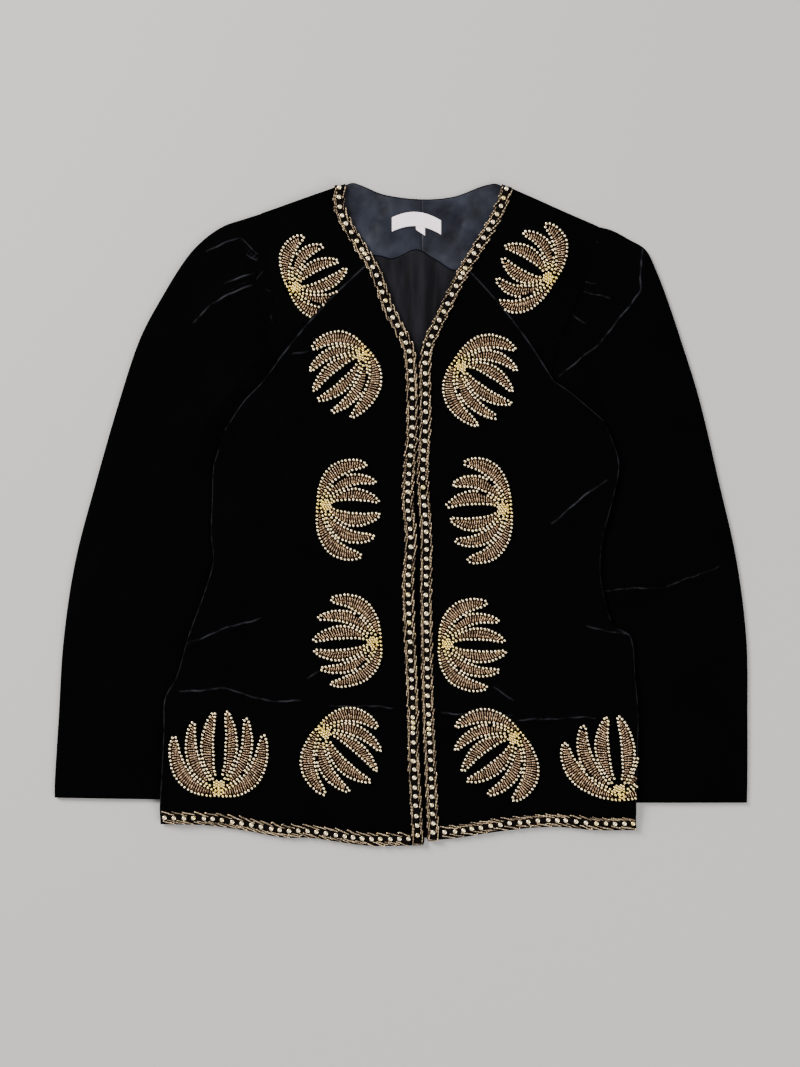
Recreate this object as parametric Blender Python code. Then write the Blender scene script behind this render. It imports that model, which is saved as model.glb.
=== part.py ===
"""Beaded velvet evening jacket, laid on its back with its fronts closed edge to edge.

Millimetres in the tables, metres in the scene. +X is the wearer's left, +Y the neck, +Z up.
The origin is the middle of the jacket's box, on the surface that it lies on.
The back lies on the floor, the sleeves beside it with their inner edges under the body's
sides, and the fronts on top. Each front is folded over on itself from neck edge to armhole.
"""

import functools
import math
from collections import namedtuple

import bmesh
import bpy
from mathutils import Matrix, Vector
from mathutils.bvhtree import BVHTree

MM = 0.001

# Cloth and gaps
BACK_WALL = 2.0
FRONT_WALL = 2.0
SATIN_WALL = 1.0
SLEEVE_WALL = 1.5
SLEEVE_FLAT = 4.2
SEAM_GAP = 0.3
ARMHOLE_EASE = 0.3
CURVED_SEAM_GAP = 0.8
RESTING_GAP = 0.35
LAYER_GAP = 0.5

# Where the sleeve lies under the body
BACK_LIFT = SLEEVE_FLAT + LAYER_GAP
FRONT_LIFT = BACK_LIFT + BACK_WALL + LAYER_GAP
FRONT_LOW = BACK_WALL + SEAM_GAP
SATIN_LIFT = SATIN_WALL + LAYER_GAP
CUFF_CLEAR = (24.0, 6.0)

# Each front's diagonal fold
FOLD_STEP = 2.5
CREST_RISE = 2.6
CREST_REACH = 26.0

# Room over the satin, about the middle of the neck
NECK_MIDDLE = (20.0, 250.0)
NECK_ROOM = (128.0, 158.0)

# Beaded trim on the fronts and the hem
TRIM_HALF = 5.8
HEM_TRIM_HALF = 6.4
TRIM_ROPE = 1.7
TRIM_BEAD = 2.7
TRIM_GROUND = 0.9
TRIM_INSET = 0.4
BEAD_PITCH = 9.3

# Beaded motifs
MOTIF_THICK = 1.9
MOTIF_SCALE_SMALL = 1.0
MOTIF_SCALE_LARGE = 1.27

# Sleeve head
PUFF_RISE = 4.2
PUFF_WALL = 1.5
GATHER_RISE = 3.2
GATHER_REACH = 55.0
SEAM_TO_CUFF = 330.0
GATHERS = 9

Place = namedtuple("Place", "name x y")
Section = namedtuple("Section", "name side_x side_y edge_y bow")
SleeveRow = namedtuple("SleeveRow", "name outer_x outer_y inner_x inner_y")
Crease = namedtuple("Crease", "name x0 y0 x1 y1 rise width")
Motif = namedtuple("Motif", "name x y turn scale")
Side = namedtuple(
    "Side", "name sign trim sections sleeve seam_bow seam_skew corner creases folds motifs"
)

# The middle line of each front's beaded trim, from the shoulder seam to the hem
RIGHT_TRIM = (
    Place("shoulder", -61.0, 329.0),
    Place("side neck", -60.5, 303.0),
    Place("upper V", -48.0, 278.0),
    Place("middle V", -26.0, 242.0),
    Place("lower V", -13.0, 206.0),
    Place("V turn", 2.0, 177.0),
    Place("breast", 8.4, 160.0),
    Place("bust", 11.0, 90.0),
    Place("under bust", 6.6, 16.0),
    Place("waist", 9.8, -26.0),
    Place("high hip", 7.0, -70.0),
    Place("hip", 11.5, -190.0),
    Place("low hip", 12.5, -245.0),
    Place("hem", 17.0, -330.0),
)
LEFT_TRIM = (
    Place("shoulder", 106.0, 328.0),
    Place("side neck", 99.0, 305.0),
    Place("upper V", 82.0, 274.0),
    Place("middle V", 63.0, 243.0),
    Place("lower V", 41.0, 198.0),
    Place("V turn", 28.0, 171.0),
    Place("breast", 24.2, 148.0),
    Place("bust", 24.4, 90.0),
    Place("under bust", 21.8, 40.0),
    Place("waist", 25.4, -26.0),
    Place("high hip", 25.0, -70.0),
    Place("hip", 27.0, -196.0),
    Place("low hip", 29.0, -240.0),
    Place("hem", 32.5, -326.0),
)

# Sections across each front below its fold: side border, height of the front edge, and bow
RIGHT_SECTIONS = (
    Section("fold", -123.0, 151.0, 252.0, 0.0),
    Section("over sleeve head", -139.0, 130.0, 230.0, 0.0),
    Section("upper armhole", -157.0, 111.0, 204.0, 0.0),
    Section("lower armhole", -175.0, 83.0, 178.0, 0.0),
    Section("underarm", -186.0, 50.0, 142.0, 0.0),
    Section("bust", -188.0, 10.0, 90.0, 0.0),
    Section("under bust", -189.0, -20.0, 44.0, 0.0),
    Section("waist", -187.0, -48.0, 0.0, 0.0),
    Section("high hip", -197.0, -82.0, -48.0, 0.0),
    Section("upper hip", -211.0, -120.0, -96.0, 0.0),
    Section("hip", -223.0, -161.0, -142.0, 0.0),
    Section("low hip", -235.0, -184.0, -180.0, 0.0),
    Section("below hip", -236.0, -215.0, -222.0, 0.0),
    Section("over cuff", -238.0, -256.0, -266.0, -1.0),
    Section("above hem", -240.0, -292.0, -306.0, -2.0),
    Section("hem", -240.0, -311.0, -331.0, -3.0),
)
LEFT_SECTIONS = (
    Section("fold", 151.0, 133.0, 247.0, 0.0),
    Section("over sleeve head", 168.0, 121.0, 222.0, 0.0),
    Section("upper armhole", 186.0, 106.0, 196.0, 0.0),
    Section("lower armhole", 201.0, 93.0, 170.0, 0.0),
    Section("underarm", 208.0, 78.0, 138.0, 0.0),
    Section("bust", 217.0, 48.0, 92.0, 0.0),
    Section("under bust", 209.0, 8.0, 46.0, 0.0),
    Section("waist", 200.0, -28.0, 0.0, 0.0),
    Section("high hip", 199.0, -66.0, -46.0, 0.0),
    Section("upper hip", 210.0, -108.0, -92.0, 0.0),
    Section("side fold", 229.0, -123.0, -120.0, 0.0),
    Section("hip", 233.0, -164.0, -158.0, 0.0),
    Section("low hip", 236.0, -200.0, -200.0, 0.0),
    Section("over cuff", 235.0, -246.0, -246.0, 2.5),
    Section("above hem", 234.0, -295.0, -300.0, 5.0),
    Section("hem", 235.0, -316.0, -327.0, 6.5),
)

# Sections across each sleeve: its outer border and its hidden inner border
RIGHT_SLEEVE = (
    SleeveRow("armhole", -139.0, 300.0, -167.0, 44.0),
    SleeveRow("head", -158.0, 294.0, -168.0, 30.0),
    SleeveRow("head top", -178.0, 287.0, -169.0, 16.0),
    SleeveRow("shoulder bend", -198.0, 273.0, -171.0, 2.0),
    SleeveRow("puff", -216.0, 253.0, -172.0, -12.0),
    SleeveRow("below puff", -239.0, 216.0, -174.0, -31.0),
    SleeveRow("upper arm", -261.0, 174.0, -176.0, -51.0),
    SleeveRow("middle arm", -281.0, 114.0, -180.0, -76.0),
    SleeveRow("above elbow", -304.0, 34.0, -188.0, -106.0),
    SleeveRow("elbow", -325.0, -46.0, -198.0, -138.0),
    SleeveRow("forearm", -337.0, -126.0, -209.0, -172.0),
    SleeveRow("lower forearm", -342.0, -206.0, -218.0, -216.0),
    SleeveRow("wrist", -345.5, -262.0, -222.0, -262.0),
    SleeveRow("cuff", -346.0, -283.0, -225.0, -285.0),
)
LEFT_SLEEVE = (
    SleeveRow("armhole", 196.0, 287.0, 191.0, 59.0),
    SleeveRow("head", 211.0, 283.0, 191.0, 46.0),
    SleeveRow("head top", 228.0, 274.0, 190.0, 32.0),
    SleeveRow("shoulder bend", 244.0, 264.0, 188.0, 18.0),
    SleeveRow("puff", 254.0, 245.0, 185.0, 4.0),
    SleeveRow("below puff", 266.0, 214.0, 182.0, -12.0),
    SleeveRow("upper arm", 280.0, 172.0, 180.0, -34.0),
    SleeveRow("middle arm", 298.0, 114.0, 181.0, -62.0),
    SleeveRow("above elbow", 317.0, 34.0, 186.0, -94.0),
    SleeveRow("elbow", 335.0, -46.0, 196.0, -128.0),
    SleeveRow("forearm", 345.0, -126.0, 209.0, -166.0),
    SleeveRow("lower forearm", 346.0, -206.0, 218.0, -214.0),
    SleeveRow("wrist", 346.0, -262.0, 220.0, -262.0),
    SleeveRow("cuff", 345.5, -288.0, 220.0, -288.0),
)

# Soft ridges pressed into the fronts
RIGHT_CREASES = (
    Crease("side drag", -214.0, -128.0, -138.0, -103.0, 2.0, 9.0),
    Crease("hip fold outer", -222.0, -180.0, -160.0, -174.0, 1.8, 8.0),
    Crease("hip fold inner", -158.0, -182.0, -96.0, -186.0, 1.8, 8.0),
    Crease("hip fold turn", -94.0, -164.0, -78.0, -156.0, 1.2, 8.0),
    Crease("front fold", -72.0, -192.0, -8.0, -194.0, 1.6, 8.0),
    Crease("bust drag", -168.0, 40.0, -110.0, -30.0, 1.3, 18.0),
    Crease("skirt flare", -150.0, -215.0, -138.0, -300.0, 1.4, 16.0),
)
LEFT_CREASES = (
    Crease("side drag", 203.0, 33.0, 148.0, -10.0, 2.2, 10.0),
    Crease("hip fold inner", 40.0, -198.0, 112.0, -200.0, 1.8, 8.0),
    Crease("hip fold outer", 116.0, -206.0, 194.0, -203.0, 1.8, 8.0),
    Crease("short fold", 92.0, -172.0, 112.0, -186.0, 1.3, 7.0),
    Crease("side tuck", 184.0, -112.0, 228.0, -120.0, 1.8, 9.0),
    Crease("bust drag", 176.0, 96.0, 120.0, 60.0, 1.3, 16.0),
    Crease("skirt flare", 170.0, -220.0, 164.0, -300.0, 1.4, 16.0),
)

# Larger folds on the sleeves
RIGHT_FOLDS = (
    Crease("head drag long", -148.0, 229.0, -204.0, 194.0, 2.4, 8.0),
    Crease("head drag short", -145.0, 241.0, -176.0, 228.0, 1.8, 7.0),
    Crease("head drag top", -161.0, 275.0, -195.0, 262.0, 1.8, 7.0),
    Crease("elbow fold", -300.0, -10.0, -232.0, -52.0, 1.6, 10.0),
    Crease("arm fold", -262.0, 120.0, -300.0, -60.0, 1.4, 14.0),
)
LEFT_FOLDS = (
    Crease("puff upper", 240.0, 266.0, 238.0, 221.0, 2.4, 9.0),
    Crease("puff middle", 238.0, 221.0, 198.0, 170.0, 2.4, 9.0),
    Crease("puff lower", 198.0, 170.0, 158.0, 138.0, 1.6, 8.0),
    Crease("elbow fold", 262.0, -73.0, 318.0, -52.0, 1.6, 9.0),
    Crease("arm fold", 262.0, 120.0, 300.0, -60.0, 1.4, 14.0),
)

# Each motif's base knot, the turn of its axis from +X in degrees, and its size
RIGHT_MOTIFS = (
    Motif("shoulder", -109.0, 225.0, 24.4, MOTIF_SCALE_SMALL),
    Motif("chest", -35.0, 160.0, 219.6, MOTIF_SCALE_SMALL),
    Motif("bust", -79.0, 9.0, -3.5, MOTIF_SCALE_SMALL),
    Motif("waist", -25.0, -129.0, 182.8, MOTIF_SCALE_SMALL),
    Motif("hem_front", -78.0, -220.0, -40.0, MOTIF_SCALE_SMALL),
    Motif("hem_side", -181.0, -277.0, 89.3, MOTIF_SCALE_LARGE),
)
LEFT_MOTIFS = (
    Motif("shoulder", 150.0, 236.0, 152.5, MOTIF_SCALE_SMALL),
    Motif("chest", 57.0, 148.0, -30.2, MOTIF_SCALE_SMALL),
    Motif("bust", 105.0, 4.0, 182.5, MOTIF_SCALE_SMALL),
    Motif("waist", 44.0, -132.0, 0.0, MOTIF_SCALE_SMALL),
    Motif("hem_front", 113.0, -224.0, 216.8, MOTIF_SCALE_SMALL),
    Motif("hem_side", 221.0, -279.0, 97.4, MOTIF_SCALE_LARGE),
)

# Half of a motif's outline, from the void between its middle petals round to the knot
Reach = namedtuple("Reach", "name angle radius")
MOTIF_HALF = (
    Reach("void wide", 11.0, 26.0),
    Reach("void middle", 11.5, 38.0),
    Reach("void neck", 8.5, 50.0),
    Reach("inner tip", 5.0, 62.0),
    Reach("inner back", 10.5, 60.0),
    Reach("inner notch", 14.5, 54.0),
    Reach("middle tip", 22.5, 62.5),
    Reach("middle back", 28.0, 58.5),
    Reach("outer notch", 32.5, 47.0),
    Reach("outer belly", 36.5, 55.0),
    Reach("outer tip", 43.0, 63.5),
    Reach("outer back", 52.0, 59.5),
    Reach("bowl side", 65.0, 50.0),
    Reach("bowl", 80.0, 36.0),
    Reach("bowl foot", 100.0, 18.0),
    Reach("knot side", 135.0, 9.0),
)
VOID_FOOT = Reach("void foot", 0.0, 15.0)
KNOT_BACK = Reach("knot back", 180.0, 6.5)

RIGHT = Side(
    "right", -1, RIGHT_TRIM, RIGHT_SECTIONS, RIGHT_SLEEVE, 33.0, 1.4, 0.58,
    RIGHT_CREASES, RIGHT_FOLDS, RIGHT_MOTIFS,
)
LEFT = Side(
    "left", 1, LEFT_TRIM, LEFT_SECTIONS, LEFT_SLEEVE, 42.0, 1.76, 0.675,
    LEFT_CREASES, LEFT_FOLDS, LEFT_MOTIFS,
)

# Grid cells of the panels
SHOULDER_ROWS = 7
CREST_OUTER_CELLS = 4
CREST_INNER_CELLS = 7
ROWS_TO_UNDERARM = 5
SIDE_STEPS = (0.0, 12.0, 24.0, 36.0, 49.0, 68.0)
FRONT_INNER_CELLS = 6
BACK_INNER_CELLS = 9
BACK_SEAM_ROWS = 12
PROFILE_STEP = 5.0
SLEEVE_RINGS = 16

# The open neck, seen inside the fronts
NECK = (
    Place("right shoulder", -48.0, 331.1),
    Place("right side neck", -38.0, 327.5),
    Place("right back neck", -17.0, 319.0),
    Place("centre back", 20.0, 314.3),
    Place("left back neck", 53.0, 317.0),
    Place("left side neck", 80.0, 327.0),
    Place("left shoulder", 94.0, 330.5),
)
FACING_HEM = (
    Place("right end", -62.0, 258.0),
    Place("right arch", -22.0, 258.0),
    Place("right dip", -8.0, 255.0),
    Place("centre arch", 15.0, 264.0),
    Place("left slope", 33.0, 255.0),
    Place("left arch", 54.0, 243.0),
    Place("left end", 104.0, 240.0),
)
CENTRE_BACK = 20.4
NECK_RIGHT = -65.0
NECK_LEFT = 103.0
LINING_FOOT = 142.0
LINING_FOOT_RIGHT = -8.0
LINING_FOOT_LEFT = 52.0
PLEAT_X = 26.0
PLEAT_WIDTH = 9.0
PLEAT_RISE = 0.9

# The bare label, an arched band, and the size tab under it
LABEL_RIGHT = -9.0
LABEL_LEFT = 40.0
LABEL_TOP = 291.0
LABEL_ARCH = 11.5
LABEL_DROP = 3.0
LABEL_HEIGHT = 14.0
TAB_RIGHT = 15.0
TAB_LEFT = 24.0
TAB_FOOT = 278.5


def smooth(start, end, value):
    """0 before start, 1 after end, and a soft slope between."""
    share = min(max((value - start) / (end - start), 0.0), 1.0)
    return share * share * (3.0 - 2.0 * share)


def mix(first, second, share):
    return first + (second - first) * share


def hermite(points, at):
    """The height at a place on a smooth curve through points of (place, height), in order."""
    values = [p[1] for p in points]
    places = [p[0] for p in points]
    if places[0] > places[-1]:
        places = places[::-1]
        values = values[::-1]
    at = min(max(at, places[0]), places[-1])
    index = 0
    while index < len(places) - 2 and at > places[index + 1]:
        index += 1
    step = places[index + 1] - places[index]
    share = (at - places[index]) / step

    def slope(k):
        low = max(k - 1, 0)
        high = min(k + 1, len(places) - 1)
        return (values[high] - values[low]) / (places[high] - places[low])

    first = slope(index) * step
    last = slope(index + 1) * step
    square = share * share
    cube = square * share
    return (
        (2 * cube - 3 * square + 1) * values[index]
        + (cube - 2 * square + share) * first
        + (3 * square - 2 * cube) * values[index + 1]
        + (cube - square) * last
    )


def column(rows, place, field):
    """Pairs of two of a table's columns, for hermite."""
    return [(getattr(row, place), getattr(row, field)) for row in rows]


def trim_x(side, y):
    return hermite(column(side.trim, "y", "x"), y)


def trim_point(side, y, across):
    """A point beside the trim's middle line: across is positive towards the opening."""
    lean = (trim_x(side, y + 1.0) - trim_x(side, y - 1.0)) / 2.0
    normal = Vector((1.0, -lean)).normalized() * -side.sign
    return Vector((trim_x(side, y), y)) + normal * across


def seam_point(side, share):
    """The armhole seam in plan, from the shoulder tip to the underarm."""
    head = side.sleeve[0]
    straight = Vector((head.outer_x, head.outer_y)).lerp(
        Vector((head.inner_x, head.inner_y)), share
    )
    straight.x -= side.sign * side.seam_bow * math.sin(math.pi * share**side.seam_skew)
    return straight


def sleeve_place(side, along, share):
    """A point in plan on a sleeve: along from armhole to cuff, share from outer to inner."""
    rows = side.sleeve
    spot = along * (len(rows) - 1)
    index = min(int(spot), len(rows) - 2)
    part = spot - index
    before, after = rows[index], rows[index + 1]
    outer = Vector((mix(before.outer_x, after.outer_x, part),
                    mix(before.outer_y, after.outer_y, part)))
    inner = Vector((mix(before.inner_x, after.inner_x, part),
                    mix(before.inner_y, after.inner_y, part)))
    point = outer.lerp(inner, share)
    fade = (1.0 - smooth(0.0, 0.5, along)) ** 1.3
    point.x -= side.sign * fade * side.seam_bow * math.sin(math.pi * share**side.seam_skew)
    return point, (inner - outer).length


@functools.cache
def inner_profile(name):
    """How far in a sleeve reaches at each height, found by walking over it."""
    side = RIGHT if name == "right" else LEFT
    low = side.sleeve[-1].inner_y
    count = int((side.sleeve[0].outer_y - low) / PROFILE_STEP) + 1
    reach = [1000.0] * count
    for i in range(161):
        for j in range(121):
            point, _ = sleeve_place(side, i / 160, j / 120)
            index = min(max(round((point.y - low) / PROFILE_STEP), 0), count - 1)
            reach[index] = min(reach[index], side.sign * point.x)
    return low, reach


def inner_border(side, y):
    """How far out from the centre the sleeve's inner border lies, at a height on the body."""
    low, reach = inner_profile(side.name)
    spot = min(max((y - low) / PROFILE_STEP, 0.0), len(reach) - 1.001)
    index = int(spot)
    return mix(reach[index], reach[index + 1], spot - index)


def side_border(side, y):
    """How far out from the centre the front's side border lies, at a height on the body."""
    if y > side.sections[0].side_y:
        return inner_border(side, y)
    return abs(hermite(column(side.sections, "side_y", "side_x"), y))


def over_cuff(side, y):
    """1 where the sleeve lies under the body, falling to 0 below the cuff."""
    cuff = side.sleeve[-1].inner_y
    return smooth(cuff - CUFF_CLEAR[0], cuff - CUFF_CLEAR[1], y)


def back_lift(side, x, y):
    """How far the back is lifted from the floor by the sleeve under it."""
    underarm = side.sleeve[0].inner_y
    along = smooth(underarm + 60.0, underarm + 28.0, y) * over_cuff(side, y)
    inward = inner_border(side, y) - side.sign * x
    return BACK_LIFT * along * (1.0 - smooth(11.0, 27.0, inward))


def front_lift(side, x, y):
    """How far a front is lifted by the sleeve, and by the back on the sleeve."""
    underarm = side.sleeve[0].inner_y
    along = mix(0.55, 1.0, smooth(underarm + 82.0, underarm + 46.0, y)) * over_cuff(side, y)
    inward = inner_border(side, y) - side.sign * x
    return (FRONT_LIFT - FRONT_LOW) * along * (1.0 - smooth(17.0, 47.0, inward))


def neck_lift(x, y):
    """Room for the satin facing and lining inside the neck."""
    away = math.hypot(x - NECK_MIDDLE[0], y - NECK_MIDDLE[1])
    return SATIN_LIFT * (1.0 - smooth(*NECK_ROOM, away))


def crease_rise(creases, x, y):
    rise = 0.0
    for crease in creases:
        start = Vector((crease.x0, crease.y0))
        run = Vector((crease.x1, crease.y1)) - start
        here = Vector((x, y)) - start
        share = min(max(here.dot(run) / run.length_squared, 0.0), 1.0)
        away = (here - run * share).length
        ends = 0.35 + 0.65 * math.sin(math.pi * share)
        rise = max(rise, crease.rise * ends * math.exp(-((away / crease.width) ** 2)))
    return rise


def material(name, colour, roughness, metallic=0.0, sheen=0.0):
    made = bpy.data.materials.new(name)
    made.use_nodes = True
    shader = made.node_tree.nodes["Principled BSDF"]
    shader.inputs["Base Color"].default_value = (*colour, 1.0)
    shader.inputs["Roughness"].default_value = roughness
    shader.inputs["Metallic"].default_value = metallic
    shader.inputs["Sheen Weight"].default_value = sheen
    return made


def finish(name, mesh, made_of, collection):
    """Closes a piece's mesh, turns its faces out and puts it in the scene."""
    bmesh.ops.recalc_face_normals(mesh, faces=mesh.faces[:])
    data = bpy.data.meshes.new(name)
    mesh.to_mesh(data)
    mesh.free()
    data.materials.append(made_of)
    data.shade_smooth()
    data.set_sharp_from_angle(angle=math.radians(35.0))
    piece = bpy.data.objects.new(name, data)
    collection.objects.link(piece)
    return piece


def surface(across, down, place):
    """A triangulated open sheet: place(u, v) gives a point for each corner of a grid."""
    mesh = bmesh.new()
    bmesh.ops.create_grid(mesh, x_segments=across, y_segments=down, size=0.5)
    for vertex in mesh.verts:
        vertex.co = place(vertex.co.x + 0.5, 0.5 - vertex.co.y) * MM
    bmesh.ops.triangulate(mesh, faces=mesh.faces[:])
    return mesh


def thicken(mesh, wall):
    """Gives an open sheet a wall, downwards, with upright edges."""
    grown = bmesh.ops.extrude_face_region(mesh, geom=mesh.faces[:])
    below = [item for item in grown["geom"] if isinstance(item, bmesh.types.BMVert)]
    bmesh.ops.translate(mesh, verts=below, vec=(0.0, 0.0, -wall * MM))
    return mesh


def height_reader(mesh):
    """A function that gives the height of a sheet's top under a point, in millimetres."""
    tree = BVHTree.FromBMesh(mesh)

    def read(x, y):
        hit = tree.ray_cast(Vector((x * MM, y * MM, 1.0)), Vector((0.0, 0.0, -1.0)))
        return None if hit[0] is None else hit[0].z / MM

    return read


def loft(mesh, rings, closed_along):
    """Skins rings of points with four-sided faces; open ends get a cap."""
    made = [[mesh.verts.new(point * MM) for point in ring] for ring in rings]
    count = len(made[0])
    pairs = list(zip(made, made[1:]))
    if closed_along:
        pairs.append((made[-1], made[0]))
    for first, second in pairs:
        for k in range(count):
            after = (k + 1) % count
            mesh.faces.new((first[k], first[after], second[after], second[k]))
    if not closed_along:
        mesh.faces.new(made[0])
        mesh.faces.new(made[-1])


def stepped(share_of, cells, width):
    """A place across a panel: fixed steps from the side border, then even cells."""
    steps = len(SIDE_STEPS) - 1
    index = round(share_of * cells)
    if index <= steps:
        return SIDE_STEPS[index]
    return mix(SIDE_STEPS[steps], width, (index - steps) / (cells - steps))


def trim_edge(side, y):
    """Where a front's cloth ends, just inside the trim's own edge."""
    return trim_point(side, y, TRIM_HALF - TRIM_INSET)


def armhole_point(side, share):
    """A point of a front's border along the armhole seam."""
    point = seam_point(side, share)
    point.x -= side.sign * (SEAM_GAP + ARMHOLE_EASE)
    return point


def along_line(points, share):
    """A point at a share of the length of a line through points."""
    lengths = [(after - before).length for before, after in zip(points, points[1:])]
    left = share * sum(lengths)
    for before, after, length in zip(points, points[1:], lengths):
        if left <= length + 1e-9:
            return before.lerp(after, left / length)
        left -= length
    return points[-1].copy()


def crest_line(side):
    """The fold's crest in plan: from its outer end over the sleeve head to the seam, then to the trim."""
    outer = [Vector((s.side_x, s.side_y)) for s in side.sections[3:0:-1]]
    return outer + [armhole_point(side, side.corner), trim_edge(side, side.sections[0].edge_y)]


def crest_row(side):
    line = crest_line(side)
    outer = [along_line(line[:-1], k / CREST_OUTER_CELLS) for k in range(CREST_OUTER_CELLS)]
    inner = [line[-2].lerp(line[-1], k / CREST_INNER_CELLS) for k in range(CREST_INNER_CELLS + 1)]
    return outer + inner


def shoulder_rows(side):
    """Rows of the front above its fold, each from the armhole seam to the trim."""
    rows = []
    top_y = side.trim[0].y
    fold_y = side.sections[0].edge_y
    for k in range(SHOULDER_ROWS + 1):
        share = k / SHOULDER_ROWS
        border = armhole_point(side, side.corner * share)
        border.y += FOLD_STEP if k == SHOULDER_ROWS else 0.0
        edge = trim_edge(side, mix(top_y, fold_y + FOLD_STEP, share))
        rows.append([border.lerp(edge, n / CREST_INNER_CELLS)
                     for n in range(CREST_INNER_CELLS + 1)])
    return rows


def section_row(side, section):
    """A row right across the front, with fixed steps from the side and then even cells."""
    border = Vector((section.side_x, section.side_y))
    edge = trim_edge(side, section.edge_y)
    width = (edge - border).length
    cells = len(SIDE_STEPS) - 1 + FRONT_INNER_CELLS
    row = []
    for k in range(cells + 1):
        across = stepped(k / cells, cells, width) / width
        spot = border.lerp(edge, across)
        spot.y += section.bow * math.sin(math.pi * across)
        row.append(spot)
    return row


def body_rows(side):
    """Rows of the front below its fold, from the crest to the hem."""
    crest = crest_row(side)
    sections = side.sections[4:]
    underarm = section_row(side, sections[0])
    rows = []
    for k in range(ROWS_TO_UNDERARM):
        share = k / ROWS_TO_UNDERARM
        rows.append([point.lerp(below, share) for point, below in zip(crest, underarm)])
    return rows + [section_row(side, section) for section in sections]


def crest_rise(side, x, y):
    """The ridge along a fold's crest: highest over the sleeve head, and nothing at the trim."""
    line = crest_line(side)[::-1]
    here = Vector((x, y))
    nearest = (math.inf, 0.0)
    for index, (before, after) in enumerate(zip(line, line[1:])):
        run = after - before
        share = min(max((here - before).dot(run) / run.length_squared, 0.0), 1.0)
        height = share if index == 0 else 1.0
        nearest = min(nearest, ((here - before - run * share).length, height))
    return CREST_RISE * nearest[1] ** 0.8 * math.exp(-nearest[0] / CREST_REACH)


def front_top(side, spot, below_fold):
    """A point on a front's top: its layers below, the fold's crest and the pressed creases."""
    top = FRONT_LOW + FRONT_WALL + neck_lift(spot.x, spot.y)
    if below_fold:
        top += front_lift(side, spot.x, spot.y) + crest_rise(side, spot.x, spot.y)
    return Vector((spot.x, spot.y, top + crease_rise(side.creases, spot.x, spot.y)))


def make_front(side, velvet, collection):
    """A front in one piece, with the step of its fold, a reader of its top and its top points."""
    above = [[front_top(side, spot, False) for spot in row] for row in shoulder_rows(side)]
    below = [[front_top(side, spot, True) for spot in row] for row in body_rows(side)]
    mesh = bmesh.new()
    made_above = [[mesh.verts.new(point * MM) for point in row] for row in above]
    made_below = [[mesh.verts.new(point * MM) for point in row] for row in below]
    pairs = list(zip(made_above, made_above[1:])) + list(zip(made_below, made_below[1:]))
    pairs.append((made_above[-1], made_below[0][CREST_OUTER_CELLS:]))
    for first, second in pairs:
        for k in range(len(first) - 1):
            mesh.faces.new((first[k], first[k + 1], second[k + 1], second[k]))
    bmesh.ops.triangulate(mesh, faces=mesh.faces[:])
    read = height_reader(mesh)
    finish(f"front_{side.name}", thicken(mesh, FRONT_WALL), velvet, collection)
    return read, above, below


def back_rows():
    """Rows of the back, as pairs of a right and a left border point."""
    rows = []
    for k in range(BACK_SEAM_ROWS + 1):
        share = k / BACK_SEAM_ROWS
        pair = []
        for side in (RIGHT, LEFT):
            border = seam_point(side, 0.965 * share)
            border.x -= side.sign * (SEAM_GAP + 0.5 + 2.2 * smooth(0.45, 0.7, share))
            pair.append(border)
        rows.append(pair)
    names = ("bust", "under bust", "waist", "high hip", "upper hip", "hip", "low hip",
             "over cuff", "above hem", "hem")
    for name in names:
        pair = []
        for side in (RIGHT, LEFT):
            section = next(s for s in side.sections if s.name == name)
            pair.append(Vector((section.side_x - side.sign * 0.6, section.side_y)))
        rows.append(pair)
    rows[-1] = [point + Vector((0.0, 1.2)) for point in rows[-1]]
    return rows


def make_back(velvet, collection):
    """The back, on the floor, with its sides over the sleeves."""
    rows = back_rows()
    steps = len(SIDE_STEPS) - 1
    cells = 2 * steps + BACK_INNER_CELLS
    right_hem = RIGHT.sections[-1]
    left_hem = LEFT.sections[-1]

    def across(u, width):
        index = round(u * cells)
        if index <= steps:
            return SIDE_STEPS[index] / width
        if index >= cells - steps:
            return 1.0 - SIDE_STEPS[cells - index] / width
        share = (index - steps) / BACK_INNER_CELLS
        return mix(SIDE_STEPS[steps], width - SIDE_STEPS[steps], share) / width

    def place(u, v):
        row = round(v * (len(rows) - 1))
        right, left = rows[row]
        share = across(u, (left - right).length)
        spot = right.lerp(left, share)
        top = 1.0 - smooth(0.0, 5.0, row)
        if top > 0.0:
            neck_y = neck_outline(spot.x)
            spot.y += (neck_y - right.lerp(left, share).y) * (top if row else 1.0)
        hem = smooth(len(rows) - 4, len(rows) - 1, row)
        spot.y += hem * (hem_y(spot.x) - mix(right_hem.side_y, left_hem.side_y, share))
        lift = max(back_lift(RIGHT, spot.x, spot.y), back_lift(LEFT, spot.x, spot.y))
        return Vector((spot.x, spot.y, BACK_WALL + lift))

    mesh = surface(cells, len(rows) - 1, place)
    finish("back_panel", thicken(mesh, BACK_WALL), velvet, collection)


def neck_outline(x):
    """The back's top border: the shoulder seams and the hollow of the neck."""
    right_tip = seam_point(RIGHT, 0.0)
    left_tip = seam_point(LEFT, 0.0)
    if x < NECK[0].x:
        return mix(right_tip.y, NECK[0].y, (x - right_tip.x) / (NECK[0].x - right_tip.x))
    if x > NECK[-1].x:
        return mix(left_tip.y, NECK[-1].y, (left_tip.x - x) / (left_tip.x - NECK[-1].x))
    return hermite(column(NECK, "x", "y"), x)


def hem_y(x):
    """The lower border of the body, a little above that of the fronts."""
    side = RIGHT if x < CENTRE_BACK else LEFT
    hem = side.sections[-1]
    edge = trim_edge(side, hem.edge_y)
    share = min(max((x - hem.side_x) / (edge.x - hem.side_x), 0.0), 1.0)
    return mix(hem.side_y, edge.y, share) + hem.bow * math.sin(math.pi * share) + 1.5


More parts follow.
